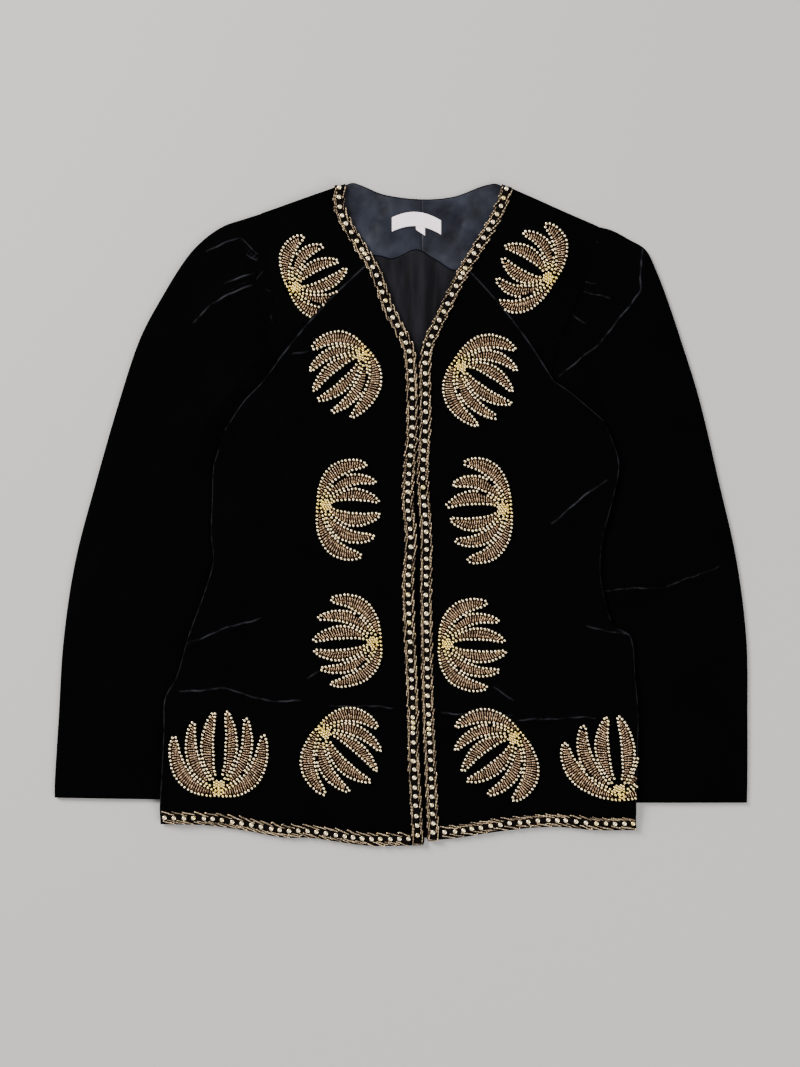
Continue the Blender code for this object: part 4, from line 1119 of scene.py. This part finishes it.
def sleeve_layer(side, along, outside):
    """Rings of the outside or the inside of a sleeve, as an array of points."""
    inset = 0.0 if outside else SLEEVE_WALL
    turn = np.linspace(0.0, np.pi / 2, EDGE_STEPS, endpoint=False)
    start = EDGE_WIDE * (1.0 - np.cos(turn))
    width = sleeve_place(side, along, 0.5)[2][:, None]
    inner = width - 2 * EDGE_WIDE
    even = np.linspace(0.0, 1.0, TOP_CELLS - 2 * EDGE_STEPS + 1)[None, :]
    top = np.concatenate([start + 0 * width, EDGE_WIDE + even * inner, width - start[::-1]], 1)
    low = np.linspace(1.0, 0.0, FLOOR_CELLS + 2)[None, 1:-1] * inner + EDGE_WIDE
    from_edge = np.concatenate([top, low], 1)
    held = np.clip(from_edge, inset, width - inset)
    alongs = along[:, None] + 0 * from_edge
    x, y, _ = sleeve_place(side, alongs, held / width)
    clear = smooth(3.0, 26.0, side.sign * x - side_border(side, y))
    head = smooth(0.0, 0.10, alongs) * (1.0 - smooth(0.30, 0.75, alongs))
    crown = arch(np.clip(from_edge / width, 0.0, 1.0)) ** 0.6
    arm = 0.35 * (1.0 - smooth(0.86, 0.98, alongs))
    puff = clear * crown * np.maximum(head, arm)
    height = SLEEVE_FLAT + PUFF_RISE * puff
    if outside:
        height = height + gathers(side, from_edge, width, alongs * SEAM_TO_CUFF)
        height = height + clear * (ridges(side.folds, x, y) + soft_waves(x, y, 0.25))
    else:
        height = height - SLEEVE_WALL - PUFF_WALL * puff
    near = np.minimum(from_edge, width - from_edge)
    rounded = np.sqrt(1.0 - (1.0 - np.clip(near / EDGE_WIDE, 0.0, 1.0)) ** 2)
    middle = SLEEVE_FLAT / 2
    z = middle + (height - middle) * rounded
    z[:, top.shape[1]:] = inset
    return np.stack([x, y, z], -1)


for side in (RIGHT, LEFT):
    along = np.linspace(0.0, 1.0, OUTSIDE_RINGS) ** CROWDING
    back = np.linspace(1.0, 0.0, INSIDE_RINGS) ** CROWDING
    rings = np.concatenate([sleeve_layer(side, along, True), sleeve_layer(side, back, False)])
    bpy.ops.object.select_all(action="DESELECT")
    bpy.ops.mesh.primitive_torus_add(major_segments=rings.shape[0], minor_segments=rings.shape[1])
    made = bpy.context.active_object
    made.name = f"sleeve_{side.name}_velvet"
    made.data.name = made.name
    assert len(made.data.vertices) == rings.shape[0] * rings.shape[1], "a torus has at most 256 rings"
    made.data.vertices.foreach_set("co", rings.reshape(-1) * MM)
    made.data.update()
    made.data.materials.append(velvet)
    tidy(made)
    # painted highlights along the sleeve's sharper folds
    paint_highlight_lines(made, side.folds, [])
    keep(made, f"sleeve_{side.name}")

# %% [markdown]
# ## One bead, many times
# Thousands of beads would be slow as objects. One bead of each kind is modelled, with as few
# faces as its size allows, and then read as points, so that a whole fan becomes a single mesh of
# copies. A seed bead is a little flat, a bugle is cut aslant at both ends, and a round bead narrows
# towards its foot.

# %% Model a seed bead, a bugle and a round bead
def pick(choose):
    """Goes into edit mode with only the chosen points of the active object selected."""
    bpy.ops.object.mode_set(mode="EDIT")
    bpy.ops.mesh.select_all(action="DESELECT")
    bpy.ops.object.mode_set(mode="OBJECT")
    for point in bpy.context.active_object.data.vertices:
        point.select = choose(point.co)
    bpy.ops.object.mode_set(mode="EDIT")


def take_shape():
    """Points and faces of the active object, in an order that never changes. It is then removed."""
    bpy.ops.object.mode_set(mode="OBJECT")
    made = bpy.context.active_object
    points = np.array([point.co for point in made.data.vertices])
    order = np.lexsort(np.round(points, 4).T)
    new_index = np.argsort(order).tolist()
    faces = sorted([new_index[k] for k in face.vertices] for face in made.data.polygons)
    bpy.data.objects.remove(made)
    return points[order], faces


bpy.ops.object.select_all(action="DESELECT")
bpy.ops.mesh.primitive_uv_sphere_add(segments=8, ring_count=5, radius=0.5)
pick(lambda point: True)
bpy.ops.transform.resize(value=(0.88, 1.0, 0.92), center_override=(0.0, 0.0, 0.0))
SEED = take_shape()

bpy.ops.object.select_all(action="DESELECT")
bpy.ops.mesh.primitive_cylinder_add(
    vertices=7, radius=0.5, depth=1.0, rotation=(0.0, math.pi / 2, 0.0)
)
bpy.ops.object.transform_apply(rotation=True)
for end, slant in ((0.5, 5.0), (-0.5, 4.0)):
    pick(lambda point: point.x * end > 0.0)
    bpy.ops.transform.rotate(
        value=math.radians(slant), orient_axis="Z", center_override=(end, 0.0, 0.0)
    )
BUGLE = take_shape()

bpy.ops.object.select_all(action="DESELECT")
bpy.ops.mesh.primitive_torus_add(
    major_segments=12, minor_segments=6, major_radius=0.28, minor_radius=0.22
)
pick(lambda point: point.z < -0.01)
bpy.ops.transform.resize(value=(0.9, 0.9, 1.0), center_override=(0.0, 0.0, 0.0))
ROUND = take_shape()
print("faces of a seed bead, a bugle and a round bead:", len(SEED[1]), len(BUGLE[1]), len(ROUND[1]))


# %% Make the helper that sews beads on
class Beadwork:
    """The points, faces, tones and materials of one beaded piece."""

    def __init__(self):
        self.points = []
        self.faces = []
        self.tones = []
        self.kinds = []
        self.count = 0

    def add(self, points, faces, tone, kind):
        """Adds points and faces that have one tone and one material."""
        self.points.append(points)
        self.faces += [tuple(k + self.count for k in face) for face in faces]
        self.tones += [tone] * len(points)
        self.kinds += [kind] * len(faces)
        self.count += len(points)

    def sew(self, shape, centre, along, size, tone, kind):
        """Adds one bead: its centre, the direction of its length, its size in three ways."""
        along = Vector(along).normalized()
        across = Vector((-along.y, along.x, 0.0)).normalized()
        turn = np.array([along, across, along.cross(across)]).T
        self.add((shape[0] * size) @ turn.T + np.array(centre), shape[1], tone, kind)

    def finish(self, name, materials):
        made = mesh_object(name, np.vstack(self.points), self.faces, materials)
        made.data.polygons.foreach_set("material_index", self.kinds)
        made.data.attributes.new("tone", "FLOAT", "POINT").data.foreach_set("value", self.tones)
        made.data.shade_smooth()
        return made


def normals_of(line):
    """The direction square to a line of points, at each of them."""
    run = np.gradient(line, axis=0)
    run /= np.hypot(*run.T)[:, None]
    return np.stack([-run[:, 1], run[:, 0]], 1)


def lengths_of(line):
    """How far along a line each of its points lies."""
    return np.concatenate([[0.0], np.cumsum(np.hypot(*np.diff(line, axis=0).T))])


def spot_on(line, lengths, distance):
    return np.array([np.interp(distance, lengths, line[:, k]) for k in range(2)])


def even_line(line, step):
    """Places evenly spaced along a line of points, about a step apart."""
    lengths = lengths_of(line)
    parts = max(1, round(lengths[-1] / step))
    return spot_on(line, lengths, np.linspace(0.0, lengths[-1], parts + 1)).T

# %% [markdown]
# ## The beaded trim
# Along each front and hem a black braid carries round beads, each held by a tiny one in its hole.
# Two ropes of bugles run beside them. A strand is four short bugles on one stitch. It lies a little
# across the line, its end over the start of the next, and mostly with a thinner one beside it, so the
# rope looks twisted. All of it was sewn by hand, so no step is quite even.

# %% Write down the trim's measures
# Some strands have a thinner second one beside them, and some a seed bead on the stitch, and these
# are their shares. A hem shows a rim of velvet below its trim. Round beads were crowded near some
# places of the front trims.
ROUND_BEAD = 4.8
BEAD_PITCH = 9.4
CLOSE_REACH = 8.0
CLOSE_BEADS = {
    "front_trim_right": ((-39.0, 261.0), (12.0, -205.0)),
    "front_trim_left": ((62.0, 243.0), (27.0, -208.0)),
}
STRAND_PITCH = 10.9
STRAND_LENGTH = 12.8
STRAND_BEADS = 4
STRAND_THICK = 1.25
SECOND_SHARE = 0.8
SECOND_THICK = 0.8 * STRAND_THICK
STITCH_SHARE = 0.3
BRAID_THICK = 0.9
BRAID_INSET = 0.7
BRAID_PLACES = np.array([-1.0, -0.8, 0.0, 0.8, 1.0])
BRAID_CROWN = np.array([0.35, 0.8, 1.0, 0.8, 0.35]) * BRAID_THICK
FRONT_ROPE_INSET = 1.15
HEM_ROPE_INSET = 1.6
HEM_RIM = 0.8
BARE_HEIGHT = 5.0
ROPE_TURN = math.radians(11.0)
print("widths of the front and hem trims in mm:", 2 * TRIM_HALF, 2 * HEM_TRIM_HALF)


# %% Follow the cloth along a trim
def surface_at(read, x, y, inward):
    """The cloth's height under a place, or under one moved a little towards the cloth."""
    for step in (0.0, 1.0, 2.0, 4.0, 6.5):
        height = read(x + inward[0] * step, y + inward[1] * step)
        if height is not None:
            return height
    return None


class Course:
    """The line that a trim follows, with the height of the cloth along it."""

    def __init__(self, line, read, inward_sign):
        self.line = even_line(line, 2.0)
        self.normals = normals_of(self.line)
        self.lengths = lengths_of(self.line)
        self.end = self.lengths[-1]
        self.read = read
        self.inward_sign = inward_sign
        found = [surface_at(read, *spot, way * inward_sign) for spot, way in zip(self.line, self.normals)]
        self.heights = [BARE_HEIGHT if height is None else height for height in found]

    def at(self, distance, across):
        """The point of the cloth at a distance along the line, some way across it."""
        way = spot_on(self.normals, self.lengths, distance)
        place = spot_on(self.line, self.lengths, distance) + way * across
        level = np.interp(distance, self.lengths, self.heights)
        here = surface_at(self.read, *place, way * self.inward_sign)
        return np.array([*place, max(level, level if here is None else here)])


# %% Weave the braid
def opening_reach(half, y):
    """How far a front trim's braid reaches into the opening. Below the neck it reaches 1.6 mm further and
    nearly closes it, so that black braid is painted shade in the narrow gap.
    """
    gap = (trim_x(LEFT, y) - trim_x(RIGHT, y)) / 2.0
    return np.minimum(half - BRAID_INSET + 1.6 * (1.0 - smooth(165.0, 190.0, y)), gap - 0.4)


def weave_braid(work, course, half, on_front):
    """A low band along the line, five points wide, with its own wall all round."""
    top = []
    for distance, spot in zip(course.lengths, course.line):
        reach = np.full(len(BRAID_PLACES), half - BRAID_INSET)
        if on_front:
            reach[BRAID_PLACES * course.inward_sign < 0] = opening_reach(half, spot[1])
            reach *= 1.0 - 0.3 * max(0.0, (distance - course.end + 4.0) / 4.0) ** 2
        top.append([course.at(distance, across) for across in BRAID_PLACES * reach])
    top = np.array(top)
    top[..., 2] += BRAID_CROWN
    bottom = top.copy()
    bottom[..., 2] -= 0.9 * BRAID_CROWN
    rows, columns = top.shape[:2]
    count = rows * columns
    upper = rows_to_faces(rows, columns)
    grid = np.arange(count).reshape(rows, columns)
    loop = np.concatenate([grid[0, :-1], grid[:-1, -1], grid[-1, :0:-1], grid[:0:-1, 0]])
    after = np.roll(loop, -1)
    walls = np.stack([loop, after, after + count, loop + count], 1)
    faces = np.vstack([upper, upper[:, ::-1] + count, walls]).tolist()
    work.add(np.vstack([top.reshape(-1, 3), bottom.reshape(-1, 3)]), faces, 0.0, 2)


# %% Sew on round beads, strands and ropes
def sew_round_beads(work, course, crowded, rng):
    """Round beads along the middle, closer together where they were crowded."""
    beads = 0
    distance = rng.uniform(2.5, 4.5)
    while distance < course.end - 2.0:
        place = course.at(distance, rng.uniform(-0.35, 0.35))
        size = ROUND_BEAD * rng.uniform(0.94, 1.04)
        direction = course.at(distance + 1.0, 0.0) - course.at(distance - 1.0, 0.0)
        place[2] += BRAID_THICK + 0.22 * size - 0.2
        close = any(abs(spot - distance) < CLOSE_REACH for spot in crowded)
        tone = rng.uniform(0.3, 0.8) if close else rng.uniform(0.75, 1.0)
        if rng.random() < 0.1:
            tone = rng.uniform(0.3, 0.6)
        work.sew(ROUND, place, direction, size, tone, 0)
        work.sew(SEED, place + [0.0, 0.0, 0.35], direction, 1.15, 0.55, 0)
        distance += rng.uniform(4.9, 5.6) if close else BEAD_PITCH * rng.uniform(0.88, 1.12)
        beads += 1
    return beads


def sew_strand(work, course, rng, start, end, width=STRAND_THICK):
    """A strand bent like a flat S, between two places, each a distance and a way across."""
    bend = rng.uniform(-0.5, 0.5)
    shade = rng.uniform(0.2, 0.85)
    knots = []
    for share in np.linspace(0.0, 1.0, STRAND_BEADS + 1):
        sway = bend * math.sin(2.0 * math.pi * share)
        knot = course.at(mix(start[0], end[0], share), mix(start[1], end[1], share) + sway)
        knot[2] += BRAID_THICK * 0.5 + STRAND_THICK * (0.5 + 0.8 * share)
        knots.append(knot)
    for first, last in zip(knots, knots[1:]):
        run = last - first
        thick = width * rng.uniform(0.88, 1.08)
        size = np.array([np.linalg.norm(run) * 0.94, thick, thick])
        tone = min(1.0, max(0.0, shade + rng.uniform(-0.3, 0.3)))
        work.sew(BUGLE, (first + last) / 2, run, size, tone, 1)


def sew_rope(work, course, rng, across, outward, turn):
    """Strands along one side of the line, each with its last bead over the start of the next."""
    strands = 0
    distance = rng.uniform(0.0, 3.0)
    while distance < course.end - 5.0:
        long = STRAND_LENGTH * rng.uniform(0.88, 1.08)
        reach = min(long, course.end - 0.4 - distance)
        slant = math.tan(turn * rng.uniform(0.6, 1.35)) * reach / 2
        sew_strand(work, course, rng, (distance, across - slant), (distance + reach, across + slant))
        strands += 1
        if rng.random() < SECOND_SHARE and distance + 1.2 * long < course.end - 1.0:
            inner = across - outward * rng.uniform(0.85, 1.2)
            slant *= 0.7
            start = (distance + 0.3 * long, inner - slant)
            sew_strand(work, course, rng, start, (start[0] + 0.9 * long, inner + slant), SECOND_THICK)
            strands += 1
        if rng.random() < STITCH_SHARE:
            knot = course.at(distance, across + outward * 0.9)
            knot[2] += BRAID_THICK * 0.5 + 0.7
            work.sew(SEED, knot, (1.0, 0.0, 0.0), 1.5, rng.uniform(0.2, 1.0), 0)
        distance += STRAND_PITCH * rng.uniform(0.9, 1.08)
    return strands


# %% Sew the trims
def sew_trim(node_name, line, half, read, inward_sign, turn):
    name = f"{node_name}_beads"
    on_front = node_name.startswith("front")
    rope_place = half - (FRONT_ROPE_INSET if on_front else HEM_ROPE_INSET)
    rng = random.Random(name)
    work = Beadwork()
    course = Course(line, read, inward_sign)
    weave_braid(work, course, half, on_front)
    crowded = [
        course.lengths[np.argmin(np.hypot(*(course.line - np.array(spot)).T))]
        for spot in CLOSE_BEADS.get(node_name, ())
    ]
    beads = sew_round_beads(work, course, crowded, rng)
    strands = sum(
        sew_rope(work, course, rng, outward * rope_place, outward, turn) for outward in (-1.0, 1.0)
    )
    if on_front:
        sew_strand(work, course, rng, (course.end - 1.4, -rope_place), (course.end - 0.6, rope_place))
    keep(work.finish(name, [seed_glass, rope_glass, braid]), node_name)
    print(name, "round beads:", beads, "strands:", strands)


for side in (RIGHT, LEFT):
    read_above, read_below = tops[side.name]

    def read_top(x, y, above=read_above, below=read_below):
        found = [height for height in (above(x, y), below(x, y)) if height is not None]
        return max(found) if found else None

    foot_y = side.sections[-1, 2]
    line = trim_point(side, np.linspace(side.trim[0, 1] - 1.5, foot_y + 1.0, 300), 0.0)
    sew_trim(f"front_trim_{side.name}", line, TRIM_HALF, read_top, side.sign, -ROPE_TURN)
    side_x, side_y, edge_y, bow = side.sections[-1]
    edge = trim_edge(side, edge_y)
    stop = float(trim_x(side, edge_y + HEM_TRIM_HALF)) + side.sign * (TRIM_HALF + 0.8)
    x = np.linspace(side_x - side.sign * 1.0, stop, 120)
    share = (x - side_x) / (edge[0] - side_x)
    y = mix(side_y, edge[1], share) + bow * arch(share) + HEM_TRIM_HALF + HEM_RIM
    line = np.stack([x, y + hem_wave(side, share)], 1)
    sew_trim(f"hem_trim_{side.name}", line, HEM_TRIM_HALF, read_top, -side.sign, -1.3 * ROPE_TURN)

# %% [markdown]
# ## The fans
# A fan has six petals round a pointed space, three on each side, and grows from a knot of yellow gold.
# Seed beads draw the border of each petal, and short bugles lie across it, a little aslant. Each petal
# here is a bent middle line with a width that swells and closes, so one table draws all twelve fans.
# Small seeded changes keep them from being alike, as hand beading never is.

# %% Write down the petals
# Each petal: start, bend and tip of its middle line, how far the tip shifts with a slant of 1, and
# its half width at seven places along it.
Petal = namedtuple("Petal", "name start bend tip shift widths")
Half = namedtuple("Half", "long wide slant pull", defaults=(0.0,))
PETALS = (
    Petal("outer", (-1.5, 0.0), (1.0, 47.5), (42.0, 46.5), -14.0, (2.4, 4.3, 5.9, 6.8, 5.7, 3.8, 1.5)),
    Petal("middle", (2.0, 3.0), (18.5, 37.4), (53.0, 27.5), -5.0, (1.5, 3.7, 5.4, 5.5, 4.5, 3.0, 1.4)),
    Petal("inner", (5.0, 2.0), (30.5, 20.8), (58.0, 6.0), 2.0, (1.0, 3.3, 5.5, 5.9, 4.5, 2.8, 1.3)),
)
WIDTH_PLACES = (0.0, 0.2, 0.4, 0.6, 0.8, 0.93, 1.0)
SEED_SIZE = 3.25
SEED_PITCH = 3.85
SEED_ROOM = 2.6
SEED_LIFT = 0.40
KNOT_SEED = 2.8
KNOT_ROOM = 2.35
BUGLE_PITCH = 2.35
BUGLE_THICK = 1.15
BUGLE_LONGEST = 5.2
# half of the way between the two rows of seeds where petals touch
ROW_HALF = 1.6
# the middle of the knot, how far its yellow beads reach, and how far it is filled with beads
KNOT_MIDDLE = 2.5
KNOT_REACH = 4.2
KNOT_FILL = 7.6


def petal_lines(petal, half, flip, rng):
    """The middle, outer and inner lines of one petal, as points in the fan's own frame."""
    pull = half.pull * petal.bend[1] / PETALS[0].bend[1]
    bend = np.array(petal.bend) + [pull + rng.uniform(-1.0, 1.0), rng.uniform(-1.2, 1.2)]
    shift = petal.shift * half.slant
    tip = np.array(petal.tip) + [shift + rng.uniform(-1.0, 1.0), rng.uniform(-0.8, 0.8)]
    share = np.linspace(0.0, 1.0, 61)[:, None]
    middle = (1 - share) ** 2 * np.array(petal.start) + 2 * share * (1 - share) * bend + share**2 * tip
    width = curve(WIDTH_PLACES, petal.widths, share[:, 0])[:, None] * rng.uniform(0.95, 1.05)
    outward = normals_of(middle) * np.maximum(width, 0.7)
    return [line * [half.long, half.wide * flip] for line in (middle, middle + outward, middle - outward)]


def joined(first, second, flip):
    """Two neighbouring borders, brought side by side up to where their petals part."""
    apart = smooth(0.22, 0.5, np.linspace(0.0, 1.0, len(first)))[:, None]
    shared = (first + second) / 2
    outward = flip * ROW_HALF * normals_of(shared)
    return mix(shared + outward, first, apart), mix(shared - outward, second, apart)


def petals_of(fan, rng):
    """The name and the three lines of each of a fan's petals."""
    petals = []
    for flip, numbers in ((1.0, fan.first), (-1.0, fan.second)):
        lines = [petal_lines(petal, Half(*numbers), flip, rng) for petal in PETALS]
        for outside, inside in ((0, 1), (1, 2)):
            lines[outside][2], lines[inside][1] = joined(lines[outside][2], lines[inside][1], flip)
        petals += [(petal.name, *three) for petal, three in zip(PETALS, lines)]
    return petals


# %% Make the helper for a fan
class Fanwork(Beadwork):
    """The beads of one fan. Places are in the fan's own frame, and beads lie on the cloth."""

    def __init__(self, fan, read, rng):
        super().__init__()
        turn = math.radians(fan.turn)
        self.spin = np.array([[math.cos(turn), -math.sin(turn)], [math.sin(turn), math.cos(turn)]])
        self.knot = [fan.x, fan.y]
        self.read = read
        self.rng = rng
        self.taken = []

    def on_cloth(self, spot):
        place = self.spin @ spot + self.knot
        height = self.read(*place)
        return None if height is None else np.array([*place, height])

    def seed(self, spot, along, size, tone, room):
        """Sews on a seed bead, unless another one is too near or no cloth is there."""
        place = self.on_cloth(spot)
        crowded = any(math.hypot(spot[0] - near[0], spot[1] - near[1]) < room for near in self.taken)
        if crowded or place is None:
            return
        self.taken.append(spot)
        place[2] += SEED_LIFT * size
        self.sew(SEED, place, (*(self.spin @ along), 0.0), size, tone, 0)

    def tone_at(self, spot):
        """From 0 at the knot to nearly 1 well away from it, and never quite even."""
        away = math.hypot(*spot)
        return float(np.clip((away - 2.0) / 24.0, 0.0, 1.0)) ** 0.7 * self.rng.uniform(0.75, 1.0)

    def sew_middle(self):
        """The flat round bead in the middle of the knot, with a small one in its hole."""
        spot = np.array([0.5, 0.0])
        place = self.on_cloth(spot)
        if place is not None:
            self.taken.append(spot)
            place[2] += 0.55
            self.sew(ROUND, place, (1.0, 0.0, 0.0), (4.4, 4.4, 3.0), 0.0, 0)
            self.sew(SEED, place + [0.0, 0.0, 0.3], (1.0, 0.0, 0.0), 1.5, 0.1, 0)

    def sew_borders(self, petals):
        """Seeds round each petal: the outermost first, so that it runs unbroken round the knot."""
        for name, _, outer, inner in petals:
            first = 0 if name == "outer" else 6
            border = np.vstack([outer[first:], inner[:first:-1]])
            spots = even_line(border, SEED_PITCH * self.rng.uniform(0.97, 1.03))
            for k, spot in enumerate(spots):
                run = spots[min(k + 1, len(spots) - 1)] - spots[max(k - 1, 0)] + 1e-6
                shake = np.array([self.rng.uniform(-0.25, 0.25), self.rng.uniform(-0.25, 0.25)])
                size = SEED_SIZE * self.rng.uniform(0.92, 1.06)
                self.seed(spot + shake, run, size, self.tone_at(spot), SEED_ROOM)

    def fill_knot(self):
        """Gold seeds in what is left round the base, in rows that are offset by half a bead."""
        for i in range(-3, 8):
            for j in range(-5, 6):
                spot = np.array([0.5 + 2.6 * i + 1.3 * (j % 2), 2.3 * j])
                away = math.hypot(spot[0] - KNOT_MIDDLE, spot[1])
                if away < KNOT_FILL and spot[0] > -3.6:
                    tone = self.rng.uniform(0.0, 0.4) if away < KNOT_REACH else self.tone_at(spot)
                    self.seed(spot, np.array([1.0, 0.3]), KNOT_SEED, tone, KNOT_ROOM)

    def sew_bugle(self, start, end):
        """One bugle between two places. It is left out where no cloth is."""
        first = self.on_cloth(start)
        last = self.on_cloth(end)
        if first is None or last is None:
            return 0
        first += [self.rng.uniform(-0.2, 0.2), self.rng.uniform(-0.2, 0.2), 0.5 * BUGLE_THICK]
        last += [0.0, 0.0, 0.5 * BUGLE_THICK]
        size = np.array([np.linalg.norm(last - first), BUGLE_THICK, BUGLE_THICK])
        self.sew(BUGLE, (first + last) / 2, last - first, size, self.rng.uniform(0.2, 1.0), 1)
        return 1

    def lay_bugles(self, petals):
        """Bugles across each petal, a little aslant, and two end to end where it is wide."""
        bugles = 0
        for _, middle, outer, inner in petals:
            lengths = lengths_of(middle)
            distance = 3.0
            while distance < lengths[-1] - 4.0:
                start = spot_on(outer, lengths, distance + 1.4)
                end = spot_on(inner, lengths, distance - 1.4)
                distance += BUGLE_PITCH * self.rng.uniform(0.93, 1.07)
                wide = np.hypot(*(end - start))
                room = wide - SEED_SIZE - 0.3
                heart = (start + end) / 2
                if room < 1.2 or math.hypot(heart[0] - KNOT_MIDDLE, heart[1]) < KNOT_FILL:
                    continue
                way = (end - start) / wide
                start = start + way * (SEED_SIZE / 2 + 0.15)
                cuts = [0.0, room]
                if room > BUGLE_LONGEST:
                    cuts.insert(1, room * self.rng.uniform(0.35, 0.65))
                for low, high in zip(cuts, cuts[1:]):
                    bugles += self.sew_bugle(start + way * (low + 0.15), start + way * (high - 0.15))
        return bugles

# %% Sew the fans
for side in (RIGHT, LEFT):
    read_above, read_below = tops[side.name]
    for fan in side.fans:
        name = f"fan_{side.name}_{fan.name}_beads"
        rng = random.Random(name)
        work = Fanwork(fan, read_above if fan.name == "shoulder" else read_below, rng)
        petals = petals_of(fan, rng)
        work.sew_middle()
        work.sew_borders(petals)
        work.fill_knot()
        bugles = work.lay_bugles(petals)
        keep(work.finish(name, [seed_glass, bugle_glass]), f"motif_{side.name}_{fan.name}")
        print(name, "seed beads:", len(work.taken), "bugles:", bugles)

# %% [markdown]

# %% [markdown]
# ## Floor and light
# A plain pale floor and soft light from above, as in a photo studio. The large lamps give the beads
# broad highlights, and the jacket a soft shadow along its edge.

# %% Make the floor
FLOOR_WIDTH = 8.0
FLOOR_GAP = 0.0002
bpy.ops.object.select_all(action="DESELECT")
bpy.ops.mesh.primitive_plane_add(size=FLOOR_WIDTH, location=(0.0, 0.0, -FLOOR_GAP))
floor = bpy.context.active_object
floor.name = "floor"
floor_paint, _ = finish_of("pale_plain_floor", Base_Color=colour("#b0ada9"), Roughness=0.8)
floor.data.materials.append(floor_paint)

# %% Hang the lamps
for name, spot, size, power in (
    ("main_softbox", (-2.6, 2.0, 2.3), 1.6, 320.0),
    ("fill_softbox", (2.4, -2.1, 2.4), 2.2, 140.0),
):
    light = bpy.data.lights.new(name, "AREA")
    light.size = size
    light.energy = power
    lamp = bpy.data.objects.new(name, light)
    lamp.location = spot
    lamp.rotation_euler = (-Vector(spot)).to_track_quat("-Z", "Y").to_euler()
    bpy.context.scene.collection.objects.link(lamp)
world = bpy.data.worlds.new("soft_surroundings")
world.use_nodes = True
world.node_tree.nodes["Background"].inputs["Color"].default_value = colour("#eef0f4")
world.node_tree.nodes["Background"].inputs["Strength"].default_value = 0.66
bpy.context.scene.world = world
